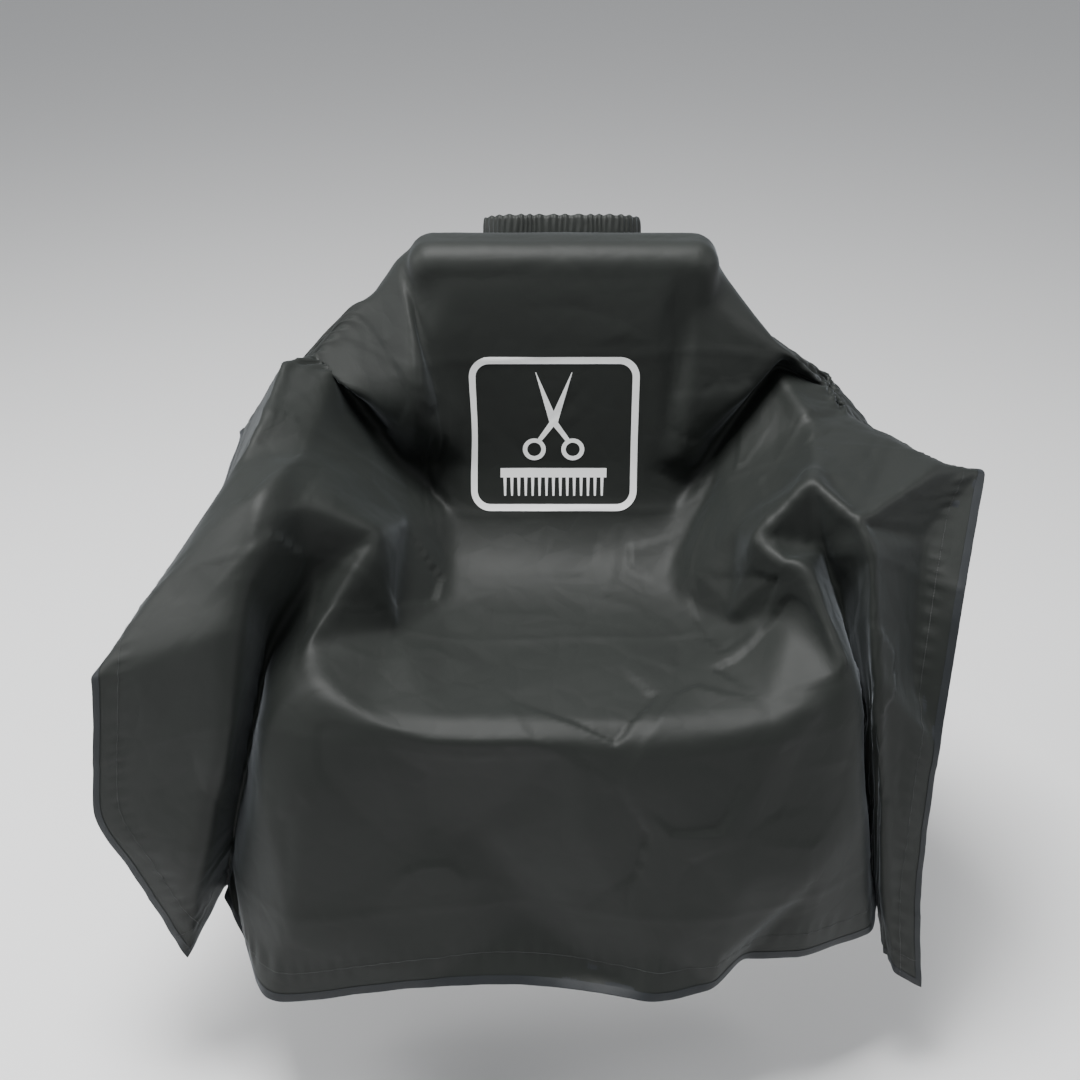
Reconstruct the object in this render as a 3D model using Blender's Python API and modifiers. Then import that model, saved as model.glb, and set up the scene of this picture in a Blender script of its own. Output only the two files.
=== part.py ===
"""Barber cape of thin coated nylon, draped over a salon chair.

The origin is the middle of the chair back's top edge: X to the right as seen from the front,
Y towards the rear, Z up. Metres. The cloth is one sheet, WIDTH by LENGTH when flat. Its draped
shape is a smooth surface through a table of handles, and every panel and hem is a patch of it.
"""
import math

import bmesh
import bpy
import numpy as np
from mathutils import Matrix

# Flat cape
WIDTH = 1.42            # side hem to side hem
LENGTH = 1.45           # front hem to rear hem
CLOTH = 0.0018          # panel thickness used for the solid
HEM_WIDTH = 0.042
HEM_CLOTH = 0.0032      # a hem is the cloth folded over
OPENING_HEM = 0.020     # narrow hems either side of the rear opening
OPENING_GAP = 0.006     # between the two rear flaps
SEAM_GAP = 0.0060       # between neighbouring patches, measured on the flat cape
GAP = 0.0003            # between touching pieces

# Stations along the flat cape. What lies behind the seat's edge is set out from the rear hem,
# so a longer cape hangs lower in front and its neck stays behind the chair back.
V_SEAT_EDGE = LENGTH - 1.105
V_SEAT_REAR = LENGTH - 0.750
V_NECK_FRONT = LENGTH - 0.265
V_NECK_REAR = LENGTH - 0.120
V_PRINT = (LENGTH - 0.670, LENGTH - 0.420)
HANDLE_LENGTH = 1.45    # the length that the handles' v values are counted on
SMOOTHING = 0.015      # how far the surface may pass by a handle, to round the folds
U_SEAT = 0.250
U_CURTAIN = 0.400
U_ARM_OUTER = 0.560

# Neck band, a flattened ring that leans back behind the chair
BAND_RADIUS = 0.044
BAND_HEIGHT = 0.030
BAND_WALL = 0.0012
BAND_CENTRE = (0.0, 0.103, -0.042)
BAND_LEAN = 24.0        # degrees
BAND_END_GAP = 0.004
NECK_CLEARANCE = 0.002  # between the band and the opening it is sewn into
ELASTIC_THICKNESS = 0.0014
ELASTIC_CLEARANCE = 0.0008
ELASTIC_MARGIN = 0.005  # above and below the elastic, inside the casing
BAND_HOLLOW = ELASTIC_THICKNESS + 2 * ELASTIC_CLEARANCE

# Closure tab and its snaps
TAB_THICKNESS = 0.0015
TAB_MARGIN = 0.003      # the band shows this much above and below the tab
TAB_CORNER = 0.008
TAB_HINGE_X = 0.006
STUD_COUNT = 4
SOCKET_COUNT = 2
CAP_RADIUS = 0.0055
CAP_THICKNESS = 0.0010
CAP_BEVEL = 0.0005
CAP_SPACE = 0.0040      # between neighbouring caps, and from a cap to the tab's end
POST_RADIUS = 0.0012
POST_CLEARANCE = 0.0003
STUD_RADIUS = 0.0040
STUD_BASE = 0.0010
KNOB_RADIUS = 0.0021
KNOB_HEIGHT = 0.0018
SOCKET_CLEARANCE = 0.0007
SOCKET_FLOOR = 0.0008
POST_HOLE = POST_RADIUS + POST_CLEARANCE
SOCKET_BORE = KNOB_RADIUS + SOCKET_CLEARANCE
SNAP_PITCH = 2 * CAP_RADIUS + CAP_SPACE
SNAP_FIRST_X = -BAND_END_GAP / 2 - CAP_RADIUS - GAP * 5
BAND_STRAIGHT = 2 * (CAP_RADIUS - SNAP_FIRST_X + (STUD_COUNT - 1) * SNAP_PITCH)  # front and rear runs
TAB_LENGTH = TAB_HINGE_X - SNAP_FIRST_X + (SOCKET_COUNT - 1) * SNAP_PITCH + CAP_RADIUS + CAP_SPACE
TAB_HEIGHT = BAND_HEIGHT - 2 * TAB_MARGIN

# Chest print and care label
PRINT_SIZE = (0.215, 0.190)
PRINT_CENTRE_Z = -0.235
PRINT_LINE = 0.009
PRINT_CORNER = 0.026
PRINT_THICKNESS = 0.0005
PRINT_LIFT = 0.0018     # clears the facets of the curved cloth under it
LABEL_SIZE = (0.045, 0.022)
LABEL_THICKNESS = 0.0006

HALF_WIDTH = WIDTH / 2

# Handles: place on the flat cape (u across, v along), then the draped point.
# Another program printed this table, rounded to 2 mm.
HANDLES = [
    (0, 0.34, 0.000, -0.470, -0.456), (0, 0.375, 0.000, -0.444, -0.442),
    (0, 0.53, 0.000, -0.290, -0.440), (0, 0.62, 0.000, -0.200, -0.434),
    (0, 0.69, 0.000, -0.134, -0.408), (0, 0.75, 0.000, -0.094, -0.360),
    (0, 0.82, 0.000, -0.076, -0.292), (0, 0.91, 0.000, -0.066, -0.204),
    (0, 1, 0.000, -0.060, -0.112), (0, 1.06, 0.000, -0.052, -0.054),
    (0, 1.09, 0.000, -0.040, -0.028), (0, 1.117, 0.000, -0.018, -0.006),
    (0, 1.145, 0.000, 0.010, 0.000), (0, 1.175, 0.000, 0.038, -0.008),
    (0, 1.206, 0.000, 0.060, -0.028), (-0.15, 0.34, -0.150, -0.470, -0.456),
    (-0.15, 0.375, -0.150, -0.444, -0.442), (-0.15, 0.53, -0.150, -0.290, -0.440),
    (-0.15, 0.62, -0.148, -0.200, -0.434), (-0.15, 0.69, -0.148, -0.134, -0.408),
    (-0.15, 0.75, -0.148, -0.094, -0.360), (-0.125, 0.82, -0.124, -0.076, -0.292),
    (-0.125, 0.91, -0.124, -0.066, -0.204), (-0.125, 1, -0.124, -0.060, -0.112),
    (-0.14, 1.06, -0.140, -0.052, -0.056), (-0.14, 1.09, -0.140, -0.038, -0.028),
    (-0.14, 1.117, -0.140, -0.016, -0.008), (-0.14, 1.145, -0.140, 0.012, 0.000),
    (-0.09, 1.175, -0.090, 0.038, -0.010), (-0.09, 1.206, -0.090, 0.060, -0.030),
    (0.15, 0.34, 0.150, -0.470, -0.456), (0.15, 0.375, 0.150, -0.444, -0.442),
    (0.15, 0.53, 0.150, -0.290, -0.440), (0.15, 0.62, 0.148, -0.200, -0.434),
    (0.15, 0.69, 0.148, -0.134, -0.408), (0.15, 0.75, 0.148, -0.094, -0.360),
    (0.125, 0.82, 0.124, -0.076, -0.292), (0.125, 0.91, 0.124, -0.066, -0.204),
    (0.125, 1, 0.124, -0.060, -0.112), (0.14, 1.06, 0.140, -0.052, -0.056),
    (0.14, 1.09, 0.140, -0.038, -0.028), (0.14, 1.117, 0.140, -0.016, -0.008),
    (0.14, 1.145, 0.140, 0.012, 0.000), (0.09, 1.175, 0.090, 0.038, -0.010),
    (0.09, 1.206, 0.090, 0.060, -0.030), (-0.71, 0, -0.484, -0.470, -0.806),
    (-0.5, 0, -0.410, -0.460, -0.770), (-0.39, 0, -0.374, -0.530, -0.848),
    (-0.28, 0, -0.274, -0.530, -0.820), (-0.17, 0, -0.168, -0.526, -0.798),
    (-0.05, 0, -0.054, -0.526, -0.796), (0.1, 0, 0.104, -0.560, -0.790),
    (0.19, 0, 0.184, -0.530, -0.794), (0.245, 0, 0.224, -0.500, -0.772),
    (0.32, 0, 0.296, -0.500, -0.770), (0.43, 0, 0.398, -0.446, -0.782),
    (0.52, 0, 0.420, -0.376, -0.776), (0.66, 0, 0.440, -0.450, -0.868),
    (0.71, 0, 0.478, -0.460, -0.886), (-0.17, 0.31, -0.170, -0.472, -0.490),
    (-0.11, 0.2, -0.100, -0.468, -0.596), (-0.03, 0.085, -0.036, -0.478, -0.716),
    (0.05, 0.02, 0.052, -0.520, -0.784), (0, 0.13, 0.000, -0.500, -0.668),
    (0.08, 0.12, 0.076, -0.516, -0.676), (0.125, 0.07, 0.120, -0.532, -0.732),
    (0.1, 0.31, 0.100, -0.484, -0.492), (0.03, 0.22, 0.030, -0.500, -0.580),
    (0.22, 0.3, 0.218, -0.480, -0.500), (0.23, 0.16, 0.216, -0.518, -0.640),
    (0.2, 0.05, 0.188, -0.528, -0.750), (0.33, 0.15, 0.310, -0.490, -0.640),
    (0.34, 0.27, 0.316, -0.456, -0.520), (-0.3, 0.27, -0.312, -0.486, -0.508),
    (-0.34, 0.13, -0.334, -0.510, -0.674), (-0.29, 0.375, -0.298, -0.416, -0.390),
    (-0.245, 0.335, -0.248, -0.460, -0.430), (0.245, 0.335, 0.266, -0.460, -0.426),
    (0.29, 0.375, 0.312, -0.420, -0.418), (-0.23, 0.375, -0.230, -0.444, -0.436),
    (0.23, 0.375, 0.236, -0.444, -0.436), (-0.63, 0.11, -0.446, -0.486, -0.656),
    (-0.51, 0.25, -0.408, -0.466, -0.518), (-0.5, 0.45, -0.370, -0.430, -0.320),
    (-0.5, 0.51, -0.364, -0.400, -0.272), (-0.5, 0.61, -0.350, -0.340, -0.194),
    (-0.71, 0.25, -0.588, -0.430, -0.608), (-0.71, 0.44, -0.566, -0.400, -0.418),
    (-0.71, 0.61, -0.520, -0.260, -0.384), (-0.71, 0.77, -0.456, -0.130, -0.320),
    (-0.71, 0.92, -0.444, 0.010, -0.284), (-0.71, 0.12, -0.534, -0.456, -0.706),
    (-0.6, 0.56, -0.472, -0.330, -0.294), (-0.56, 0.69, -0.402, -0.240, -0.212),
    (-0.54, 0.775, -0.380, -0.160, -0.188), (-0.52, 0.89, -0.368, -0.050, -0.160),
    (-0.53, 0.1, -0.424, -0.390, -0.684), (-0.445, 0.25, -0.396, -0.400, -0.560),
    (-0.41, 0.44, -0.364, -0.344, -0.410), (-0.335, 0.35, -0.358, -0.436, -0.434),
    (-0.375, 0.24, -0.368, -0.470, -0.536), (-0.46, 0.1, -0.418, -0.450, -0.692),
    (-0.315, 0.43, -0.312, -0.370, -0.388), (-0.445, 0.6, -0.320, -0.300, -0.224),
    (-0.33, 0.58, -0.222, -0.280, -0.278), (-0.215, 0.53, -0.212, -0.292, -0.424),
    (-0.39, 0.595, -0.270, -0.294, -0.246), (-0.445, 0.72, -0.324, -0.170, -0.220),
    (-0.43, 0.86, -0.304, -0.030, -0.180), (-0.275, 0.69, -0.202, -0.160, -0.332),
    (-0.275, 0.8, -0.216, -0.036, -0.310), (-0.375, 0.86, -0.272, -0.002, -0.232),
    (-0.165, 0.825, -0.160, -0.066, -0.298), (-0.345, 0.895, -0.244, -0.100, -0.206),
    (-0.265, 0.885, -0.184, -0.124, -0.212), (-0.18, 0.875, -0.150, -0.090, -0.256),
    (-0.255, 0.96, -0.188, -0.120, -0.152), (-0.19, 0.99, -0.178, -0.072, -0.124),
    (-0.22, 1.085, -0.210, -0.014, -0.032), (-0.37, 0.96, -0.284, 0.000, -0.132),
    (-0.45, 0.935, -0.334, 0.000, -0.168), (-0.31, 1.05, -0.260, 0.010, -0.082),
    (-0.21, 1.13, -0.204, 0.016, -0.020), (-0.33, 1.2, -0.236, 0.100, -0.130),
    (-0.095, 1.25, -0.080, 0.090, -0.042), (-0.1, 1.31, -0.090, 0.144, -0.080),
    (0, 1.31, 0.000, 0.150, -0.072), (0, 1.45, 0.000, 0.170, -0.204),
    (-0.12, 1.45, -0.110, 0.164, -0.230), (-0.3, 1.45, -0.224, 0.156, -0.356),
    (-0.5, 1.45, -0.324, 0.164, -0.530), (-0.71, 1.45, -0.430, 0.164, -0.716),
    (-0.5, 1.22, -0.344, 0.096, -0.300), (-0.71, 1.2, -0.450, 0.120, -0.500),
    (-0.5, 1.05, -0.364, 0.056, -0.200), (-0.2, 1.25, -0.164, 0.084, -0.080),
    (0.71, 0.175, 0.460, -0.430, -0.708), (0.71, 0.35, 0.466, -0.384, -0.534),
    (0.71, 0.53, 0.490, -0.314, -0.358), (0.71, 0.7, 0.538, -0.170, -0.254),
    (0.61, 0.25, 0.386, -0.430, -0.546), (0.555, 0.39, 0.372, -0.396, -0.414),
    (0.52, 0.53, 0.362, -0.340, -0.274), (0.51, 0.58, 0.350, -0.314, -0.250),
    (0.66, 0.42, 0.434, -0.344, -0.458), (0.65, 0.58, 0.448, -0.256, -0.308),
    (0.475, 0.84, 0.380, -0.060, -0.226), (0.555, 0.785, 0.434, -0.130, -0.228),
    (0.625, 0.735, 0.476, -0.200, -0.228), (0.42, 0.63, 0.298, -0.260, -0.220),
    (0.335, 0.59, 0.232, -0.280, -0.290), (0.345, 0.55, 0.260, -0.314, -0.302),
    (0.365, 0.51, 0.292, -0.334, -0.298), (0.345, 0.445, 0.314, -0.376, -0.356),
    (0.33, 0.4, 0.324, -0.402, -0.396), (0.43, 0.47, 0.344, -0.316, -0.364),
    (0.44, 0.3, 0.376, -0.364, -0.544), (0.48, 0.12, 0.400, -0.376, -0.696),
    (0.365, 0.34, 0.358, -0.416, -0.420), (0.39, 0.2, 0.368, -0.446, -0.564),
    (0.215, 0.53, 0.208, -0.284, -0.418), (0.285, 0.465, 0.280, -0.334, -0.372),
    (0.305, 0.655, 0.218, -0.216, -0.310), (0.42, 0.7, 0.314, -0.200, -0.228),
    (0.415, 0.8, 0.324, -0.100, -0.220), (0.25, 0.79, 0.212, -0.076, -0.300),
    (0.2, 0.81, 0.184, -0.050, -0.316), (0.27, 0.855, 0.238, -0.016, -0.244),
    (0.35, 0.93, 0.290, 0.010, -0.184), (0.31, 0.985, 0.298, -0.020, -0.154),
    (0.245, 0.91, 0.232, -0.064, -0.214), (0.18, 0.84, 0.168, -0.090, -0.284),
    (0.19, 1.04, 0.172, -0.040, -0.060), (0.175, 0.87, 0.156, -0.104, -0.244),
    (0.15, 0.88, 0.140, -0.068, -0.246), (0.165, 1.085, 0.154, -0.024, -0.018),
    (0.4, 0.95, 0.352, 0.000, -0.210), (0.25, 1.07, 0.228, 0.010, -0.070),
    (0.21, 1.11, 0.178, 0.004, -0.020), (0.33, 1.2, 0.236, 0.100, -0.136),
    (0.5, 1.22, 0.350, 0.096, -0.310), (0.71, 1.2, 0.456, 0.120, -0.504),
    (0.5, 1.04, 0.376, 0.056, -0.224), (0.2, 1.25, 0.164, 0.084, -0.080),
    (0.095, 1.25, 0.080, 0.090, -0.042), (0.1, 1.31, 0.090, 0.144, -0.080),
    (0.12, 1.45, 0.110, 0.164, -0.230), (0.3, 1.45, 0.224, 0.156, -0.356),
    (0.5, 1.45, 0.324, 0.164, -0.536), (0.71, 1.45, 0.436, 0.164, -0.720),
    (0.71, 0.92, 0.490, 0.020, -0.344),
]


def spline_basis(distance):
    """Thin-plate kernel r^2 log r, with its zero at r = 0."""
    return np.where(distance > 0, distance**2 * np.log(np.maximum(distance, 1e-12)), 0.0)


def fit_drape():
    """Solve the smoothing spline that takes the flat cape to its draped shape."""
    handles = np.array(HANDLES)
    flat, target = handles[:, :2] + (0.0, LENGTH - HANDLE_LENGTH), handles[:, 2:]
    count = len(flat)
    kernel = spline_basis(np.linalg.norm(flat[:, None] - flat[None], axis=2)) + SMOOTHING * np.eye(count)
    plane = np.hstack([np.ones((count, 1)), flat])
    system = np.block([[kernel, plane], [plane.T, np.zeros((3, 3))]])
    weights = np.linalg.solve(system, np.vstack([target, np.zeros((3, 3))]))
    return flat, weights


HANDLE_FLAT, HANDLE_WEIGHTS = fit_drape()


def drape(flat):
    """Draped positions of points (u, v) on the flat cape, as an (n, 3) array."""
    flat = np.atleast_2d(flat)
    kernel = spline_basis(np.linalg.norm(flat[:, None] - HANDLE_FLAT[None], axis=2))
    plane = np.hstack([np.ones((len(flat), 1)), flat])
    return np.hstack([kernel, plane]) @ HANDLE_WEIGHTS


def drape_normal(flat):
    """Unit normals of the draped cloth on its upper, outer side."""
    step = 0.002
    flat = np.atleast_2d(flat)
    across = drape(flat + (step, 0)) - drape(flat - (step, 0))
    along = drape(flat + (0, step)) - drape(flat - (0, step))
    normal = np.cross(across, along)
    return normal / np.linalg.norm(normal, axis=1)[:, None]


def material(name, colour, roughness, metallic=0.0):
    mat = bpy.data.materials.new(name)
    mat.use_nodes = True
    shader = mat.node_tree.nodes["Principled BSDF"]
    shader.inputs["Base Color"].default_value = (*colour, 1.0)
    shader.inputs["Roughness"].default_value = roughness
    shader.inputs["Metallic"].default_value = metallic
    return mat


def add_object(name, mesh, collection, mat=None):
    obj = bpy.data.objects.new(name, mesh)
    collection.objects.link(obj)
    if mat is not None:
        obj.data.materials.append(mat)
    return obj


def mesh_from(bm, name):
    mesh = bpy.data.meshes.new(name)
    bm.to_mesh(mesh)
    bm.free()
    return mesh


def solidify(obj, thickness, offset=0.0):
    modifier = obj.modifiers.new("Thickness", "SOLIDIFY")
    modifier.thickness = thickness
    modifier.offset = offset
    modifier.use_even_offset = True


def cut(obj, cutter, operation="DIFFERENCE"):
    cutter.hide_render = True
    cutter.display_type = "WIRE"
    modifier = obj.modifiers.new("Cut", "BOOLEAN")
    modifier.operation = operation
    modifier.solver = "EXACT"
    modifier.object = cutter


def patch(name, u_range, v_range, thickness, collection, mat, cells=(8, 8), lift=0.0):
    """A piece of the draped cloth between two u and two v values, as an open grid with Solidify."""
    bm = bmesh.new()
    bmesh.ops.create_grid(bm, x_segments=cells[0], y_segments=cells[1], size=0.5)
    grid = np.array([v.co for v in bm.verts])
    flat = np.column_stack([
        u_range[0] + (grid[:, 0] + 0.5) * (u_range[1] - u_range[0]),
        v_range[0] + (grid[:, 1] + 0.5) * (v_range[1] - v_range[0]),
    ])
    draped = drape(flat) + lift * drape_normal(flat)
    for vert, point in zip(bm.verts, draped):
        vert.co = point
    obj = add_object(name, mesh_from(bm, name), collection, mat)
    solidify(obj, thickness)
    return obj


def shrink(low, high, gap=SEAM_GAP / 2):
    """A range pulled in by half a seam gap at each end."""
    return low + gap, high - gap


def band_frame():
    """World matrix of the neck band's own frame: Z up the band, Y to the rear."""
    lean = Matrix.Rotation(-math.radians(BAND_LEAN), 4, "X")
    return Matrix.Translation(BAND_CENTRE) @ lean


def stadium(radius, start, end, count):
    """Points round the band's flattened ring, from rear middle, left side first, by arc share."""
    half = BAND_STRAIGHT / 2
    arc = math.pi * radius
    total = 2 * BAND_STRAIGHT + 2 * arc
    points = []
    for share in np.linspace(start, end, count):
        run = share * total
        if run <= half:
            points.append((-run, radius))
        elif run <= half + arc:
            angle = math.pi / 2 + (run - half) / radius
            points.append((-half + radius * math.cos(angle), radius * math.sin(angle)))
        elif run <= half + arc + BAND_STRAIGHT:
            points.append((-half + run - half - arc, -radius))
        elif run <= half + 2 * arc + BAND_STRAIGHT:
            angle = -math.pi / 2 + (run - half - arc - BAND_STRAIGHT) / radius
            points.append((half + radius * math.cos(angle), radius * math.sin(angle)))
        else:
            points.append((total - run, radius))
    return points


def swept_strip(name, section, start, end, count, collection, mat):
    """An open strip whose section (outward offset, height) follows the band's ring."""
    bm = bmesh.new()
    rows = []
    for offset, height in section:
        ring = stadium(BAND_RADIUS + offset, start, end, count)
        rows.append([bm.verts.new((x, y, height)) for x, y in ring])
    for low, high in zip(rows, rows[1:]):
        for index in range(count - 1):
            bm.faces.new((low[index], low[index + 1], high[index + 1], high[index]))
    return add_object(name, mesh_from(bm, name), collection, mat)


def turned(name, profile, collection, mat, steps=20):
    """A solid of revolution about Z from a closed profile of (radius, height) points."""
    bm = bmesh.new()
    verts = [bm.verts.new((radius, 0, height)) for radius, height in profile]
    for first, second in zip(verts, verts[1:]):
        bm.edges.new((first, second))
    if profile[0][0] > 0:
        bm.edges.new((verts[-1], verts[0]))
    obj = add_object(name, mesh_from(bm, name), collection, mat)
    screw = obj.modifiers.new("Turn", "SCREW")
    screw.steps = steps
    screw.render_steps = steps
    screw.use_merge_vertices = True
    screw.merge_threshold = 0.00001
    return obj


def prism(name, loops, y_range, collection):
    """A flat outline in X and Z, drawn out along Y. A second loop is a hole of as many points."""
    bm = bmesh.new()
    sheets = [[[bm.verts.new((x, y, z)) for x, z in loop] for loop in loops] for y in y_range]
    count = len(loops[0])
    for index in range(count):
        after = (index + 1) % count
        for near, far in zip(*sheets):
            bm.faces.new((near[index], near[after], far[after], far[index]))
        if len(loops) == 2:
            for outer, inner in sheets:
                bm.faces.new((outer[index], outer[after], inner[after], inner[index]))
    if len(loops) == 1:
        for sheet in sheets:
            bm.faces.new(sheet[0])
    bmesh.ops.recalc_face_normals(bm, faces=bm.faces)
    return add_object(name, mesh_from(bm, name), collection)


def cylinder(name, radius, y_range, centre, collection, segments=20):
    """A cylinder along Y between two offsets from its centre (x, z)."""
    angles = [math.tau * index / segments for index in range(segments)]
    outline = [(radius * math.cos(angle), radius * math.sin(angle)) for angle in angles]
    obj = prism(name, [outline], y_range, collection)
    obj.location = (centre[0], 0.0, centre[1])
    return obj


def rounded_rectangle(width, height, radius, centre_z, steps=5):
    """Outline points (x, z), anticlockwise, with each corner an arc."""
    points = []
    for quarter, (x_sign, z_sign) in enumerate(((1, 1), (-1, 1), (-1, -1), (1, -1))):
        for step in range(steps + 1):
            angle = math.pi / 2 * (quarter + step / steps)
            points.append((
                x_sign * (width / 2 - radius) + radius * math.cos(angle),
                centre_z + z_sign * (height / 2 - radius) + radius * math.sin(angle),
            ))
    return points


def turned_about(points, angle, centre):
    """Outline points (x, z) turned by an angle in degrees, then moved to a centre."""
    cos, sin = math.cos(math.radians(angle)), math.sin(math.radians(angle))
    return [(centre[0] + x * cos - z * sin, centre[1] + x * sin + z * cos) for x, z in points]


def comb_outline(length, depth, teeth):
    """A comb lying along X: a straight spine with square teeth below it."""
    pitch = length / (2 * teeth + 1)
    points = [(-length / 2, depth / 2), (-length / 2, -depth / 2)]
    for tooth in range(teeth):
        x = -length / 2 + pitch * (2 * tooth + 1)
        points += [(x, -depth / 2), (x, 0.0), (x + pitch, 0.0), (x + pitch, -depth / 2)]
    return points + [(length / 2, -depth / 2), (length / 2, depth / 2)]


def shear_outline(blade, handle, width):
    """Half a pair of scissors along Z: a pointed blade above the pivot, a round grip below."""
    grip_radius = 0.014
    points = [(width / 2, 0.0), (0.0, blade), (-width / 2, 0.0)]
    start = math.pi / 2 + 0.25
    for step in range(17):
        angle = start + (math.tau - 0.5) * step / 16
        points.append((grip_radius * math.cos(angle), -handle + grip_radius * math.sin(angle)))
    return points


class Cape:
    """Builds the cape's objects into one collection, with its cutters in another."""

    def __init__(self):
        scene = bpy.context.scene.collection
        self.parts = bpy.data.collections.new("barber_cape")
        self.cutters = bpy.data.collections.new("cutters")
        scene.children.link(self.parts)
        scene.children.link(self.cutters)
        self.cloth = material("black_nylon", (0.045, 0.052, 0.055), 0.42)
        self.hem = material("hem_nylon", (0.055, 0.062, 0.068), 0.45)
        self.print = material("white_ink", (0.86, 0.86, 0.86), 0.6)
        self.elastic = material("elastic", (0.02, 0.02, 0.02), 0.9)
        self.snap = material("snap_plastic", (0.02, 0.02, 0.022), 0.3)
        self.label = material("label_weave", (0.75, 0.75, 0.74), 0.85)

    def panels(self):
        """The sheet, divided where it folds over the chair's edges."""
        inner = HALF_WIDTH - HEM_WIDTH
        rear = LENGTH - HEM_WIDTH
        middle = [
            ("cloth_front", (-U_CURTAIN, U_CURTAIN), (HEM_WIDTH, V_SEAT_EDGE), (16, 8)),
            ("cloth_seat", (-U_SEAT, U_SEAT), (V_SEAT_EDGE, V_SEAT_REAR), (10, 8)),
            ("cloth_chest", (-U_SEAT, U_SEAT), (V_SEAT_REAR, V_NECK_FRONT), (10, 14)),
        ]
        for name, u_range, v_range, cells in middle:
            patch(name, shrink(*u_range), shrink(*v_range), CLOTH, self.parts, self.cloth, cells)
        sides = [
            ("cloth_corner", (U_CURTAIN, inner), (HEM_WIDTH, V_SEAT_EDGE), (12, 8)),
            ("cloth_arm", (U_SEAT, U_ARM_OUTER), (V_SEAT_EDGE, V_NECK_FRONT), (14, 16)),
            ("cloth_side", (U_ARM_OUTER, inner), (V_SEAT_EDGE, V_NECK_FRONT), (4, 14)),
        ]
        for side, sign in (("left", -1), ("right", 1)):
            for name, u_range, v_range, cells in sides:
                u_side = sorted(sign * u for u in shrink(*u_range))
                patch(f"{name}_{side}", u_side, shrink(*v_range), CLOTH, self.parts, self.cloth, cells)
            u_side = sorted((sign * (OPENING_GAP / 2 + OPENING_HEM), sign * (inner - SEAM_GAP / 2)))
            flap = patch(f"cloth_back_{side}", u_side, shrink(V_NECK_FRONT, rear), CLOTH, self.parts,
                         self.cloth, (16, 8))
            cut(flap, self.neck_cutter)

    def hems(self):
        """Folded and stitched edges on all four sides, and either side of the rear opening."""
        inner, rear = HALF_WIDTH - HEM_WIDTH, LENGTH - HEM_WIDTH
        patch("hem_front", (-HALF_WIDTH, HALF_WIDTH), (0, HEM_WIDTH - SEAM_GAP / 2), HEM_CLOTH,
              self.parts, self.hem, (66, 2))
        opening = OPENING_GAP / 2
        for side, sign in (("left", -1), ("right", 1)):
            u_side = sorted((sign * (inner + SEAM_GAP / 2), sign * HALF_WIDTH))
            patch(f"hem_{side}", u_side, shrink(HEM_WIDTH, LENGTH + SEAM_GAP / 2), HEM_CLOTH,
                  self.parts, self.hem, (2, 32))
            u_side = sorted((sign * opening, sign * (inner - SEAM_GAP / 2)))
            patch(f"hem_rear_{side}", u_side, (rear + SEAM_GAP / 2, LENGTH), HEM_CLOTH,
                  self.parts, self.hem, (18, 2))
            u_side = sorted((sign * opening, sign * (opening + OPENING_HEM - SEAM_GAP / 2)))
            patch(f"hem_opening_{side}", u_side, shrink(V_NECK_REAR + 0.012, rear), HEM_CLOTH,
                  self.parts, self.hem, (2, 4))

    def seat_on_band(self, obj):
        """Parent an object to the neck band's frame, with its own location inside that frame."""
        obj.parent = self.band
        return obj

    def make_neck_cutter(self):
        """The opening that the neck band is sewn into."""
        outline = stadium(BAND_RADIUS + BAND_WALL + BAND_HOLLOW / 2 + NECK_CLEARANCE, 0.0, 1.0, 49)[:-1]
        depth = 0.06
        bm = bmesh.new()
        floor = bm.faces.new([bm.verts.new((x, y, -depth / 2)) for x, y in outline])
        walls = bmesh.ops.extrude_face_region(bm, geom=[floor])["geom"]
        top = [item for item in walls if isinstance(item, bmesh.types.BMVert)]
        bmesh.ops.translate(bm, verts=top, vec=(0, 0, depth))
        bmesh.ops.recalc_face_normals(bm, faces=bm.faces)
        self.neck_cutter = self.seat_on_band(add_object("neck_cutter", mesh_from(bm, "neck"), self.cutters))

    def neck_band(self):
        """The folded casing round the neck and the elastic that runs inside it."""
        wall = BAND_HOLLOW / 2 + BAND_WALL / 2
        section = [(wall, 0.0), (wall, BAND_HEIGHT - 0.002), (0.0, BAND_HEIGHT),
                   (-wall, BAND_HEIGHT - 0.002), (-wall, 0.0)]
        length = 2 * BAND_STRAIGHT + math.tau * BAND_RADIUS
        end = BAND_END_GAP / 2 / length
        casing = swept_strip("neck_casing", section, end, 1 - end, 61, self.parts, self.cloth)
        solidify(self.seat_on_band(casing), BAND_WALL)
        for index in range(STUD_COUNT):
            hole = cylinder(f"post_hole_{index + 1}", POST_HOLE, (-wall * 3, wall * 3),
                            (self.snap_x(index), BAND_HEIGHT / 2), self.cutters)
            hole.location.y = BAND_RADIUS
            cut(casing, self.seat_on_band(hole))
        first = (BAND_STRAIGHT / 2 + 0.004) / length
        strip = [(0.0, ELASTIC_MARGIN), (0.0, BAND_HEIGHT - ELASTIC_MARGIN)]
        elastic = swept_strip("neck_elastic", strip, first, 1 - end * 6, 57, self.parts, self.elastic)
        solidify(self.seat_on_band(elastic), ELASTIC_THICKNESS)

    @staticmethod
    def snap_x(index):
        return SNAP_FIRST_X - SNAP_PITCH * index

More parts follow.
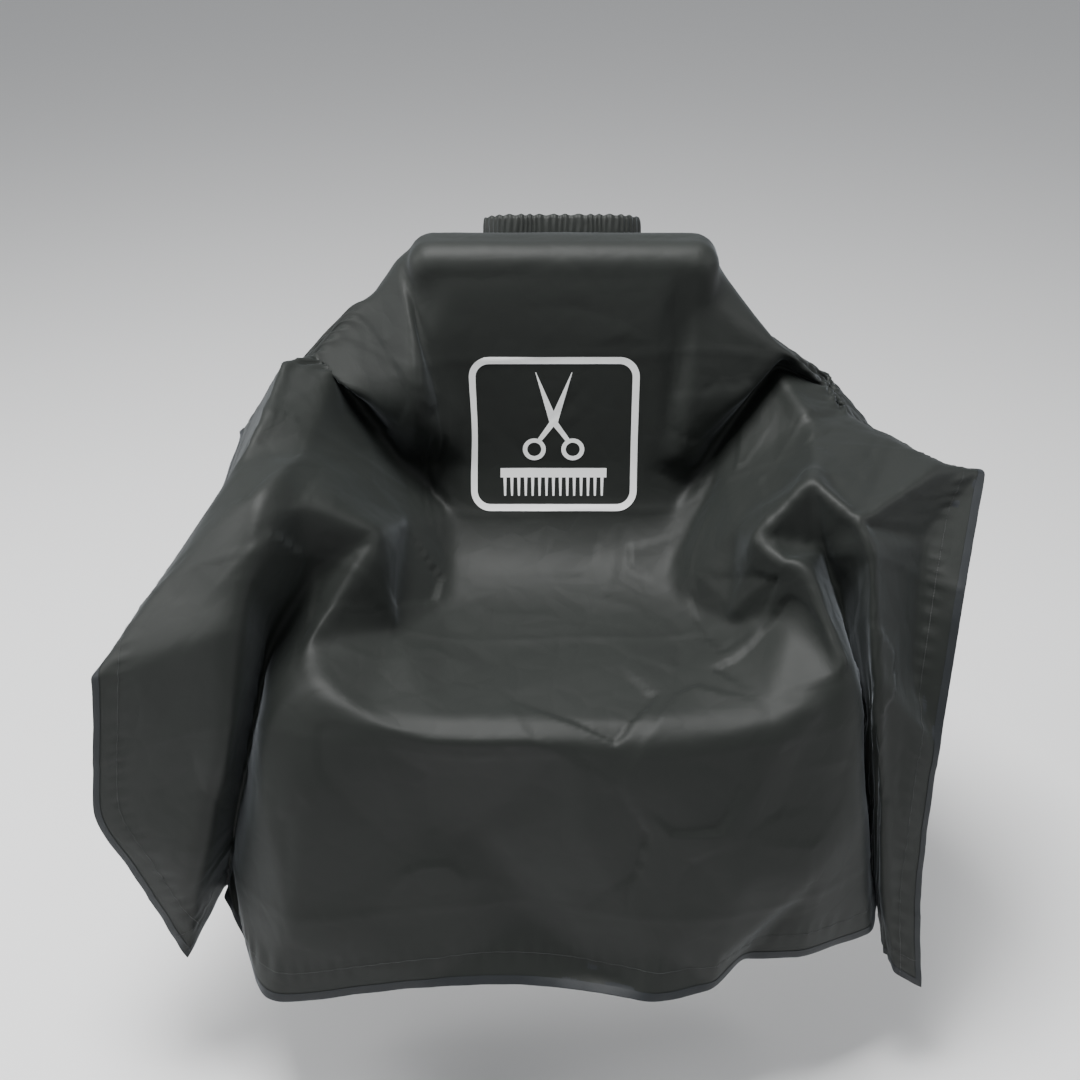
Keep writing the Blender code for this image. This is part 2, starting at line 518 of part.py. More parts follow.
    def snaps(self):
        """Studs through the band's left end, each held by a cap with a post on the neck side."""
        outer = BAND_RADIUS + BAND_HOLLOW / 2 + BAND_WALL + GAP
        inner = BAND_RADIUS - BAND_HOLLOW / 2 - BAND_WALL - GAP
        post = outer - inner + STUD_BASE + KNOB_HEIGHT / 2
        knob = STUD_BASE + KNOB_HEIGHT
        bore = post - (outer - inner) + GAP
        stud_profile = [(0.0, knob), (KNOB_RADIUS - CAP_BEVEL, knob), (KNOB_RADIUS, knob - CAP_BEVEL),
                        (KNOB_RADIUS, STUD_BASE), (STUD_RADIUS, STUD_BASE), (STUD_RADIUS, 0.0),
                        (POST_HOLE, 0.0), (POST_HOLE, bore), (0.0, bore)]
        cap_profile = [(0.0, post), (POST_RADIUS, post), (POST_RADIUS, 0.0), (CAP_RADIUS, 0.0),
                       (CAP_RADIUS, -CAP_BEVEL), (CAP_RADIUS - CAP_BEVEL, -CAP_THICKNESS), (0.0, -CAP_THICKNESS)]
        for index in range(STUD_COUNT):
            for name, profile, y in (("stud", stud_profile, outer), ("stud_cap", cap_profile, inner)):
                piece = turned(f"{name}_{index + 1}", profile, self.parts, self.snap)
                piece.rotation_euler = (-math.pi / 2, 0, 0)
                piece.location = (self.snap_x(index), y, BAND_HEIGHT / 2)
                self.seat_on_band(piece)

    def closure(self):
        """The tab that crosses the rear gap, with the sockets and caps riveted through it."""
        stud_face = BAND_RADIUS + BAND_HOLLOW / 2 + BAND_WALL + GAP + STUD_BASE
        rim = KNOB_HEIGHT + GAP
        socket = rim + SOCKET_FLOOR
        tab_inner = stud_face + GAP + socket + GAP
        half = TAB_HEIGHT / 2
        outline = [(0.0, half), (TAB_CORNER - TAB_LENGTH, half), (-TAB_LENGTH, half - TAB_CORNER),
                   (-TAB_LENGTH, TAB_CORNER - half), (TAB_CORNER - TAB_LENGTH, -half), (0.0, -half)]
        tab = prism("closure_tab", [outline], (-TAB_THICKNESS / 2, TAB_THICKNESS / 2), self.parts)
        tab.data.materials.append(self.hem)
        tab.location = (TAB_HINGE_X, tab_inner + TAB_THICKNESS / 2, BAND_HEIGHT / 2)
        self.seat_on_band(tab)
        socket_profile = [(POST_HOLE, SOCKET_FLOOR), (STUD_RADIUS, SOCKET_FLOOR), (STUD_RADIUS, -rim),
                          (SOCKET_BORE, -rim), (SOCKET_BORE, 0.0), (POST_HOLE, 0.0)]
        reach = TAB_THICKNESS + 2 * GAP + SOCKET_FLOOR / 2
        cap_profile = [(0.0, CAP_THICKNESS), (CAP_RADIUS - CAP_BEVEL, CAP_THICKNESS), (CAP_RADIUS, CAP_BEVEL),
                       (CAP_RADIUS, 0.0), (POST_RADIUS, 0.0), (POST_RADIUS, -reach), (0.0, -reach)]
        floor_y = tab_inner - GAP - SOCKET_FLOOR
        for index in range(SOCKET_COUNT):
            x = self.snap_x(index)
            hole = cylinder(f"tab_hole_{index + 1}", POST_HOLE, (-0.004, 0.004), (x, BAND_HEIGHT / 2), self.cutters)
            hole.location.y = tab_inner
            cut(tab, self.seat_on_band(hole))
            for name, profile, y in (("socket", socket_profile, floor_y),
                                     ("socket_cap", cap_profile, tab_inner + TAB_THICKNESS + GAP)):
                piece = turned(f"{name}_{index + 1}", profile, self.parts, self.snap)
                piece.rotation_euler = (-math.pi / 2, 0, 0)
                piece.location = (x, y, BAND_HEIGHT / 2)
                self.seat_on_band(piece)

    def chest_print(self):
        """A rounded frame with a comb and scissors in it, as thin ink that follows the cloth."""
        lift = CLOTH / 2 + PRINT_THICKNESS / 2 + PRINT_LIFT
        width, height = PRINT_SIZE
        reach = (-0.20, 0.05)
        frame = [rounded_rectangle(width, height, PRINT_CORNER, PRINT_CENTRE_Z),
                 rounded_rectangle(width - 2 * PRINT_LINE, height - 2 * PRINT_LINE,
                                   PRINT_CORNER - PRINT_LINE, PRINT_CENTRE_Z)]
        comb = turned_about(comb_outline(0.120, 0.034, 9), 0, (0.0, PRINT_CENTRE_Z - 0.052))
        shears = [turned_about(shear_outline(0.056, 0.033, 0.014), angle, (0.0, PRINT_CENTRE_Z + 0.020))
                  for angle in (28, -28)]
        shapes = [("print_frame", frame), ("print_comb", [comb]), ("print_scissors", [shears[0]])]
        for name, loops in shapes:
            ink = patch(name, (-width / 2 - 0.01, width / 2 + 0.01), V_PRINT, PRINT_THICKNESS,
                        self.parts, self.print, (10, 12), lift)
            cutter = prism(f"{name}_outline", loops, reach, self.cutters)
            if name == "print_scissors":
                cut(cutter, prism("other_shear", [shears[1]], (reach[0] - 0.01, reach[1] + 0.01),
                                  self.cutters), "UNION")
            cut(ink, cutter, "INTERSECT")

    def care_label(self):
        """A blank woven label that hangs inside the neck, from the casing's front."""
        width, height = LABEL_SIZE
        y = -BAND_RADIUS + BAND_HOLLOW / 2 + BAND_WALL + GAP + LABEL_THICKNESS / 2
        label = prism("care_label", [[(-width / 2, 0.0), (width / 2, 0.0), (width / 2, height),
                                      (-width / 2, height)]],
                      (-LABEL_THICKNESS / 2, LABEL_THICKNESS / 2), self.parts)
        label.location = (0.0, y, BAND_HEIGHT - height - 0.004)
        label.data.materials.append(self.label)
        self.seat_on_band(label)

    def build(self):
        self.band = bpy.data.objects.new("neck_band_frame", None)
        self.parts.objects.link(self.band)
        self.band.matrix_world = band_frame()
        self.make_neck_cutter()
        self.panels()
        self.hems()
        self.neck_band()
        self.snaps()
        self.closure()
        self.chest_print()
        self.care_label()


def main():
    for obj in list(bpy.data.objects):
        bpy.data.objects.remove(obj, do_unlink=True)
    Cape().build()


if __name__ == "__main__":
    main()
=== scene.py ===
"""Looks of a barber cape draped over a salon chair: cloth, hems, stitches, neck band and print.

The cape is one sheet of thin coated nylon. Its draped shape comes from a table of places, joined by flat
facets, and a cloth solver that then moves the sheet towards its true lengths and rounds the ridges. Every
other piece is laid on that sheet. Metres, X right, Y to the rear, Z up.
"""
import logging
import math
from dataclasses import dataclass

import bpy
import numpy as np
from mathutils import Matrix, Vector
from mathutils.geometry import delaunay_2d_cdt


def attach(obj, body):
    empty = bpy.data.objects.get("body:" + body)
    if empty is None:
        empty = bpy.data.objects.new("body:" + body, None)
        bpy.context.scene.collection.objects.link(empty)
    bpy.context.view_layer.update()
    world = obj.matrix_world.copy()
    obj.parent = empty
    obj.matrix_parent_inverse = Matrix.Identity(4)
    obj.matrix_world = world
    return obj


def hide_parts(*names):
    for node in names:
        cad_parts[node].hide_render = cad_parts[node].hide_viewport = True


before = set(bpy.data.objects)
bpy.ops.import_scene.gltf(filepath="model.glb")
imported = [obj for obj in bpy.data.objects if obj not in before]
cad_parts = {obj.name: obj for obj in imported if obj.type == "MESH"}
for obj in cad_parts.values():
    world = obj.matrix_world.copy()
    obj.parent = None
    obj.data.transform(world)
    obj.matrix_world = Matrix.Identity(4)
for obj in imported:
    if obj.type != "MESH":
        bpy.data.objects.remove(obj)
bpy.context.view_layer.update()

LOG = logging.getLogger("cape")
ARRAY = np.ndarray


@dataclass(frozen=True)
class FlatCape:
    """The cape as it is cut: u runs across from the middle, v along from the front hem."""

    width: float = 1.42
    length: float = 1.45
    hem: float = 0.042
    opening_hem: float = 0.020
    neck_v: float = 1.258
    neck_half_u: float = 0.092
    neck_half_v: float = 0.052
    slit_gap: float = 0.006

    @property
    def half(self) -> float:
        """Half the width."""
        return self.width / 2


FLAT = FlatCape()

# up the middle of the seat and the back, the same to either side: number, v, the middle's y and z,
# then u, x and the y and z of the points at its left and right
MIDDLE = [
    (3, 0.340, (-0.470, -0.456), 0.150, 0.150, (-0.470, -0.456)),
    (4, 0.375, (-0.444, -0.442), 0.150, 0.150, (-0.444, -0.442)),
    (5, 0.530, (-0.290, -0.440), 0.150, 0.150, (-0.290, -0.440)),
    (6, 0.620, (-0.200, -0.434), 0.150, 0.148, (-0.200, -0.434)),
    (7, 0.690, (-0.134, -0.408), 0.150, 0.148, (-0.134, -0.408)),
    (8, 0.750, (-0.094, -0.360), 0.150, 0.148, (-0.094, -0.360)),
    (9, 0.820, (-0.076, -0.292), 0.125, 0.124, (-0.076, -0.292)),
    (10, 0.910, (-0.066, -0.204), 0.125, 0.124, (-0.066, -0.204)),
    (11, 1.000, (-0.060, -0.112), 0.125, 0.124, (-0.060, -0.112)),
    (12, 1.060, (-0.052, -0.054), 0.140, 0.140, (-0.052, -0.056)),
    (13, 1.090, (-0.040, -0.028), 0.140, 0.140, (-0.038, -0.028)),
    (14, 1.117, (-0.018, -0.006), 0.140, 0.140, (-0.016, -0.008)),
    (15, 1.145, (0.010, 0.000), 0.140, 0.140, (0.012, 0.000)),
    (16, 1.175, (0.038, -0.008), 0.090, 0.090, (0.038, -0.010)),
    (17, 1.206, (0.060, -0.028), 0.090, 0.090, (0.060, -0.030)),
]
# named places of the drape: u, v on the flat cape, then x, y, z in space
# another program printed these numbers and MIDDLE's, rounded to 2 mm
POINTS = {f"m{number}": (0.0, v, 0.0, *middle) for number, v, middle, *_ in MIDDLE}
POINTS |= {f"{name}{number}": (side * u, v, side * x, *flank)
           for name, side in (("lm", -1), ("rm", 1)) for number, v, _, u, x, flank in MIDDLE}
POINTS |= {
    "tipl": (-0.710, 0.000, -0.484, -0.470, -0.806),
    "h1": (-0.610, 0.000, -0.444, -0.370, -0.770),
    "h2": (-0.560, 0.000, -0.436, -0.420, -0.744),
    "h3": (-0.500, 0.000, -0.410, -0.460, -0.770),
    "h4": (-0.390, 0.000, -0.374, -0.530, -0.848),
    "h5": (-0.280, 0.000, -0.274, -0.530, -0.820),
    "h6": (-0.170, 0.000, -0.168, -0.526, -0.798),
    "h7": (-0.050, 0.000, -0.054, -0.526, -0.796),
    "h8": (0.100, 0.000, 0.104, -0.560, -0.790),
    "h9": (0.190, 0.000, 0.184, -0.530, -0.794),
    "h10": (0.245, 0.000, 0.224, -0.500, -0.772),
    "h11": (0.320, 0.000, 0.296, -0.500, -0.770),
    "h12": (0.430, 0.000, 0.398, -0.446, -0.782),
    "h13": (0.520, 0.000, 0.420, -0.376, -0.776),
    "h14": (0.600, 0.000, 0.426, -0.426, -0.844),
    "h15": (0.660, 0.000, 0.440, -0.450, -0.868),
    "tipr": (0.710, 0.000, 0.478, -0.460, -0.886),
    "c1": (-0.170, 0.310, -0.170, -0.472, -0.490),
    "c2": (-0.110, 0.200, -0.100, -0.468, -0.596),
    "c3": (-0.030, 0.085, -0.036, -0.478, -0.716),
    "c4": (0.050, 0.020, 0.052, -0.520, -0.784),
    "t1": (0.000, 0.130, 0.000, -0.500, -0.668),
    "t2": (0.080, 0.120, 0.076, -0.516, -0.676),
    "t3": (0.125, 0.070, 0.120, -0.532, -0.732),
    "k0": (0.100, 0.310, 0.100, -0.484, -0.492),
    "k1": (0.030, 0.220, 0.030, -0.500, -0.580),
    "r1": (0.220, 0.300, 0.218, -0.480, -0.500),
    "r2": (0.230, 0.160, 0.216, -0.518, -0.640),
    "r3": (0.200, 0.050, 0.188, -0.528, -0.750),
    "r4": (0.330, 0.150, 0.310, -0.490, -0.640),
    "r5": (0.340, 0.270, 0.316, -0.456, -0.520),
    "cl1": (-0.300, 0.270, -0.312, -0.486, -0.508),
    "cl2": (-0.340, 0.130, -0.334, -0.510, -0.674),
    "sl": (-0.290, 0.375, -0.298, -0.416, -0.390),
    "sl2": (-0.245, 0.335, -0.248, -0.460, -0.430),
    "sr2": (0.245, 0.335, 0.266, -0.460, -0.426),
    "sr": (0.290, 0.375, 0.312, -0.420, -0.418),
    "stl": (-0.230, 0.375, -0.230, -0.444, -0.436),
    "str": (0.230, 0.375, 0.236, -0.444, -0.436),
    "rg4": (-0.630, 0.110, -0.446, -0.486, -0.656),
    "rg3": (-0.510, 0.250, -0.408, -0.466, -0.518),
    "rg2": (-0.500, 0.450, -0.370, -0.430, -0.320),
    "rg1": (-0.500, 0.510, -0.364, -0.400, -0.272),
    "rg0": (-0.500, 0.610, -0.350, -0.340, -0.194),
    "w0": (-0.710, 0.250, -0.588, -0.430, -0.608),
    "w1": (-0.710, 0.440, -0.566, -0.400, -0.418),
    "w2": (-0.710, 0.610, -0.520, -0.260, -0.384),
    "w3": (-0.710, 0.770, -0.456, -0.130, -0.320),
    "w4": (-0.710, 0.920, -0.444, 0.010, -0.284),
    "wt": (-0.710, 0.120, -0.534, -0.456, -0.706),
    "o1": (-0.600, 0.560, -0.472, -0.330, -0.294),
    "o2": (-0.560, 0.690, -0.402, -0.240, -0.212),
    "o3": (-0.540, 0.775, -0.380, -0.160, -0.188),
    "o4": (-0.520, 0.890, -0.368, -0.050, -0.160),
    "v1": (-0.530, 0.100, -0.424, -0.390, -0.684),
    "v2": (-0.445, 0.250, -0.396, -0.400, -0.560),
    "v3": (-0.410, 0.440, -0.366, -0.300, -0.425),
    "v4": (-0.385, 0.525, -0.318, -0.282, -0.350),
    "ce1": (-0.335, 0.350, -0.358, -0.436, -0.434),
    "ce2": (-0.375, 0.240, -0.368, -0.470, -0.536),
    "ce3": (-0.460, 0.100, -0.418, -0.450, -0.692),
    "fl": (-0.315, 0.430, -0.312, -0.370, -0.388),
    "ao": (-0.445, 0.600, -0.320, -0.300, -0.224),
    "ai": (-0.330, 0.580, -0.222, -0.280, -0.278),
    "tr": (-0.215, 0.530, -0.212, -0.292, -0.424),
    "am": (-0.390, 0.595, -0.270, -0.294, -0.246),
    "e1b": (-0.445, 0.720, -0.324, -0.170, -0.220),
    "e1a": (-0.430, 0.860, -0.304, -0.030, -0.180),
    "vm": (-0.275, 0.690, -0.202, -0.160, -0.332),
    "V2": (-0.275, 0.800, -0.216, -0.036, -0.310),
    "V1": (-0.375, 0.860, -0.272, -0.002, -0.232),
    "V3": (-0.165, 0.825, -0.160, -0.066, -0.298),
    "le1": (-0.345, 0.895, -0.244, -0.100, -0.206),
    "le2": (-0.265, 0.885, -0.184, -0.124, -0.212),
    "le3": (-0.180, 0.875, -0.150, -0.090, -0.256),
    "lt2": (-0.255, 0.960, -0.188, -0.120, -0.152),
    "sh2": (-0.190, 0.990, -0.178, -0.072, -0.124),
    "sh1": (-0.220, 1.085, -0.210, -0.014, -0.032),
    "tf1": (-0.370, 0.960, -0.284, 0.000, -0.132),
    "o5": (-0.450, 0.935, -0.334, 0.000, -0.168),
    "o6": (-0.310, 1.050, -0.260, 0.010, -0.082),
    "s1": (-0.210, 1.130, -0.204, 0.016, -0.020),
    "rb1": (-0.330, 1.200, -0.236, 0.100, -0.130),
    "n1": (-0.095, 1.250, -0.080, 0.090, -0.042),
    "n2": (-0.100, 1.310, -0.090, 0.144, -0.080),
    "n3": (0.000, 1.310, 0.000, 0.150, -0.072),
    "z0": (0.000, 1.450, 0.000, 0.170, -0.204),
    "z1": (-0.120, 1.450, -0.110, 0.164, -0.230),
    "z2": (-0.300, 1.450, -0.224, 0.156, -0.356),
    "z3": (-0.500, 1.450, -0.324, 0.164, -0.530),
    "z4": (-0.710, 1.450, -0.430, 0.164, -0.716),
    "b1": (-0.500, 1.220, -0.344, 0.096, -0.300),
    "b2": (-0.710, 1.200, -0.450, 0.120, -0.500),
    "b3": (-0.500, 1.050, -0.364, 0.056, -0.200),
    "b4": (-0.200, 1.250, -0.164, 0.084, -0.080),
    "st3": (0.710, 0.175, 0.460, -0.430, -0.708),
    "st2": (0.710, 0.350, 0.466, -0.384, -0.534),
    "st1": (0.710, 0.530, 0.490, -0.314, -0.358),
    "st0": (0.710, 0.700, 0.538, -0.170, -0.254),
    "vr4": (0.650, 0.100, 0.406, -0.450, -0.722),
    "vr3": (0.610, 0.250, 0.386, -0.430, -0.546),
    "vr2": (0.555, 0.390, 0.372, -0.396, -0.414),
    "vr1": (0.520, 0.530, 0.362, -0.340, -0.274),
    "vr0": (0.510, 0.580, 0.350, -0.314, -0.250),
    "g1": (0.660, 0.420, 0.434, -0.344, -0.458),
    "g2": (0.650, 0.580, 0.448, -0.256, -0.308),
    "ro": (0.475, 0.840, 0.380, -0.060, -0.226),
    "ro2": (0.555, 0.785, 0.434, -0.130, -0.228),
    "ro3": (0.625, 0.735, 0.476, -0.200, -0.228),
    "lp4": (0.420, 0.630, 0.298, -0.260, -0.220),
    "d6": (0.335, 0.590, 0.232, -0.280, -0.290),
    "li2": (0.345, 0.550, 0.260, -0.314, -0.302),
    "li3": (0.365, 0.510, 0.292, -0.334, -0.298),
    "cr1": (0.345, 0.445, 0.314, -0.376, -0.356),
    "cr2": (0.330, 0.400, 0.324, -0.402, -0.396),
    "cv1": (0.430, 0.470, 0.346, -0.285, -0.385),
    "cv0": (0.425, 0.555, 0.318, -0.272, -0.310),
    "cv2": (0.440, 0.300, 0.376, -0.364, -0.544),
    "cv3": (0.480, 0.120, 0.400, -0.376, -0.696),
    "ry1": (0.365, 0.340, 0.358, -0.416, -0.420),
    "ry2": (0.390, 0.200, 0.368, -0.446, -0.564),
    "dl1": (0.215, 0.530, 0.208, -0.284, -0.418),
    "dl2": (0.285, 0.465, 0.280, -0.334, -0.372),
    "d7": (0.305, 0.655, 0.218, -0.216, -0.310),
    "d5": (0.420, 0.700, 0.314, -0.200, -0.228),
    "d4": (0.415, 0.800, 0.324, -0.100, -0.220),
    "d1": (0.250, 0.790, 0.212, -0.076, -0.300),
    "U3": (0.200, 0.810, 0.184, -0.050, -0.316),
    "U2": (0.270, 0.855, 0.238, -0.016, -0.244),
    "U1": (0.350, 0.930, 0.290, 0.010, -0.184),
    "rp": (0.310, 0.985, 0.298, -0.020, -0.154),
    "rpm": (0.245, 0.910, 0.232, -0.064, -0.214),
    "rpb": (0.180, 0.840, 0.168, -0.090, -0.284),
    "rs1": (0.190, 1.040, 0.172, -0.040, -0.060),
    "rs2": (0.175, 0.870, 0.156, -0.104, -0.244),
    "rs3": (0.150, 0.880, 0.140, -0.068, -0.246),
    "rs0": (0.165, 1.085, 0.154, -0.024, -0.018),
    "ro0": (0.400, 0.950, 0.352, 0.000, -0.210),
    "q1": (0.250, 1.070, 0.228, 0.010, -0.070),
    "q2": (0.210, 1.110, 0.178, 0.004, -0.020),
    "y1": (0.330, 1.200, 0.236, 0.100, -0.136),
    "y2": (0.500, 1.220, 0.350, 0.096, -0.310),
    "y3": (0.710, 1.200, 0.456, 0.120, -0.504),
    "y4": (0.500, 1.040, 0.376, 0.056, -0.224),
    "y5": (0.200, 1.250, 0.164, 0.084, -0.080),
    "y6": (0.095, 1.250, 0.080, 0.090, -0.042),
    "y7": (0.100, 1.310, 0.090, 0.144, -0.080),
    "x1": (0.120, 1.450, 0.110, 0.164, -0.230),
    "x2": (0.300, 1.450, 0.224, 0.156, -0.356),
    "x3": (0.500, 1.450, 0.324, 0.164, -0.536),
    "x4": (0.710, 1.450, 0.436, 0.164, -0.720),
    "j1": (0.710, 0.920, 0.490, 0.020, -0.344),
}
FOLD_LINES = [f"lm{row[0]} m{row[0]} rm{row[0]}" for row in MIDDLE] + [
    "tipl h1 h2 h3 h4 h5 h6 h7 h8 h9 h10 h11 h12 h13 h14 h15 tipr",
    "c1 c2 c3 c4 h8",
    "c3 t1 t2 t3 h8",
    "k0 k1 t1",
    "r1 r2 r3 h9",
    "cl1 cl2 h4",
    "sl sl2 lm3",
    "rm3 sr2 sr",
    "stl lm4",
    "rm4 str",
    "tipl rg4 rg3 rg2 rg1 rg0",
    "tipl wt w0 w1 w2 w3 w4",
    "w1 o1 o2 o3 o4",
    "rg0 o2",
    "h1 v1 v2 v3 v4",
    "fl ce1 ce2 ce3 h3",
    "fl sl",
    "rg0 ao am ai fl",
    "fl tr",
    "ai tr",
    "ao e1b e1a",
    "e1a o4",
    "tr vm V2 V1",
    "V2 V3",
    "e1a le1 le2 le3",
    "tf1 lt2 le2",
    "lt2 sh2",
    "sh1 sh2 le3",
    "o4 o5 tf1",
    "o5 o6 sh1",
    "sh1 lt2",
    "sh1 lm13",
    "sh2 lm11",
    "z0 z1 z2 z3 z4 b2 w4",
    "tipr st3 st2 st1 st0",
    "h15 vr4 vr3 vr2 vr1 vr0",
    "g1 g2",
    "ro ro2 ro3 st0",
    "vr0 lp4 d6 li2 li3",
    "li3 cr1 cr2 sr",
    "cv0 cv1 cv2 cv3 h13",
    "cr2 ry1 ry2 h12",
    "d6 d7",
    "dl1 dl2 sr",
    "dl1 d7",
    "lp4 d5 d4",
    "d7 d1 U3",
    "U3 U2 U1",
    "d4 U1",
    "rp rpm rpb",
    "rs1 rs2",
    "rs0 rs1 rp",
    "rs0 rs3",
    "rp ro0 ro",
    "q2 q1 rp",
    "z0 x1 x2 x3 x4 y3 j1 st0",
    "n1 n2 n3 y7 y6 m17 n1",
]


class Drape:
    """The folded guide surface: flat facets between the fold lines, from (u, v) to (x, y, z)."""

    def __init__(self, points: dict[str, tuple[float, ...]], lines: list[str]) -> None:
        """Split the flat cape into triangles that keep to the fold lines."""
        names = list(points)
        rows = np.array([points[name] for name in names])
        chains = [[names.index(name) for name in line.split()] for line in lines]
        edges = [pair for chain in chains for pair in zip(chain, chain[1:])]
        flat = [Vector(row) for row in rows[:, :2].tolist()]
        places, _, faces, origins, *_ = delaunay_2d_cdt(flat, edges, [], 0, 1e-6)
        source = np.array([origin[0] if origin else -1 for origin in origins])
        if (source < 0).any():
            raise ValueError("two fold lines cross between their points")
        self.flat = np.array([tuple(place) for place in places])
        self.space = rows[source, 2:]
        self.faces = np.array(faces)

    def at(self, flat: ARRAY) -> ARRAY:
        """Guide points of flat points.

        Args:
            flat: (n, 2) places on the flat cape.

        Returns:
            (n, 3) places in space.
        """
        first, second, third = (self.flat[self.faces[:, corner]] for corner in range(3))
        area = np.cross(second - first, third - first)
        best = np.full(len(flat), -np.inf)
        result = np.zeros((len(flat), 3))
        for face, a, b, c, size in zip(self.faces, first, second, third, area):
            weight = np.stack([np.cross(b - flat, c - flat), np.cross(c - flat, a - flat),
                               np.cross(a - flat, b - flat)], axis=1) / size
            inner = weight.min(axis=1)
            better = inner > best
            best[better] = inner[better]
            result[better] = weight[better] @ self.space[face]
        return result


@dataclass(frozen=True)
class Block:
    """A rounded box of the chair under the cape, which pushes the cloth out."""

    low: tuple[float, float, float]
    high: tuple[float, float, float]
    radius: float

    def push(self, points: ARRAY, gap: float) -> None:
        """Move points out of the rounded box, in place.

        The distance is that of a box shrunk by its radius, less the radius.

        Args:
            points: (..., 3) cloth points.
            gap: how far off the surface the cloth stays.
        """
        low, high = np.array(self.low) + self.radius, np.array(self.high) - self.radius
        inner = np.clip(points, low, high)
        away = points - inner
        reach = np.linalg.norm(away, axis=-1)
        outside = reach > 1e-9
        short = outside & (reach < self.radius + gap)
        scale = np.where(short, (self.radius + gap) / np.maximum(reach, 1e-9), 1.0)
        points[...] = inner + away * scale[..., None]
        deep = ~outside
        if deep.any():
            held = points[deep]
            sides = np.stack([held - low, high - held], axis=1).reshape(len(held), 6)
            nearest = sides.argmin(axis=1)
            axis = nearest % 3
            target = np.where(nearest < 3, low[axis] - self.radius - gap, high[axis] + self.radius + gap)
            held[np.arange(len(held)), axis] = target
            points[deep] = held


CHAIR = [
    Block((-0.275, -0.455, -0.600), (0.275, -0.060, -0.446), 0.030),
    Block((-0.200, -0.045, -0.460), (0.200, 0.045, -0.006), 0.030),
    Block((-0.370, -0.265, -0.330), (-0.290, 0.020, -0.240), 0.025),
    Block((0.290, -0.265, -0.330), (0.370, 0.020, -0.250), 0.025),
]


class Sheet:
    """The settled sheet: a grid of points, read anywhere by cubic interpolation."""

    def __init__(self, u: ARRAY, v: ARRAY, points: ARRAY) -> None:
        """Keep the grid's flat values and its (rows, columns, 3) points."""
        self.u, self.v, self.points = u, v, points

    @staticmethod
    def taps(values: ARRAY, axis: ARRAY) -> tuple[ARRAY, ARRAY]:
        """Four neighbours and their Catmull-Rom weights for each value on an even axis."""
        place = (values - axis[0]) / (axis[1] - axis[0])
        base = np.clip(np.floor(place), 0, len(axis) - 2).astype(int)
        t = place - base
        index = np.clip(base[:, None] + np.arange(-1, 3), 0, len(axis) - 1)
        weight = 0.5 * np.stack([
            -t + 2 * t**2 - t**3, 2 - 5 * t**2 + 3 * t**3, t + 4 * t**2 - 3 * t**3, -(t**2) + t**3,
        ], axis=1)
        return index, weight

    def at(self, flat: ARRAY) -> ARRAY:
        """Places in space of (n, 2) flat points."""
        column, column_weight = self.taps(flat[:, 0], self.u)
        row, row_weight = self.taps(flat[:, 1], self.v)
        around = self.points[row[:, :, None], column[:, None, :]]
        return np.einsum("nijk,ni,nj->nk", around, row_weight, column_weight)

    def normal(self, flat: ARRAY, step: float = 0.004) -> ARRAY:
        """Unit normals of the outer side at (n, 2) flat points."""
        across = self.at(flat + (step, 0.0)) - self.at(flat - (step, 0.0))
        along = self.at(flat + (0.0, step)) - self.at(flat - (0.0, step))
        normal = np.cross(across, along)
        return normal / np.maximum(np.linalg.norm(normal, axis=1), 1e-12)[:, None]

    def lifted(self, flat: ARRAY, lift: ARRAY | float) -> ARRAY:
        """Points a given height above the cloth's middle surface."""
        return self.at(flat) + np.reshape(lift, (-1, 1)) * self.normal(flat)


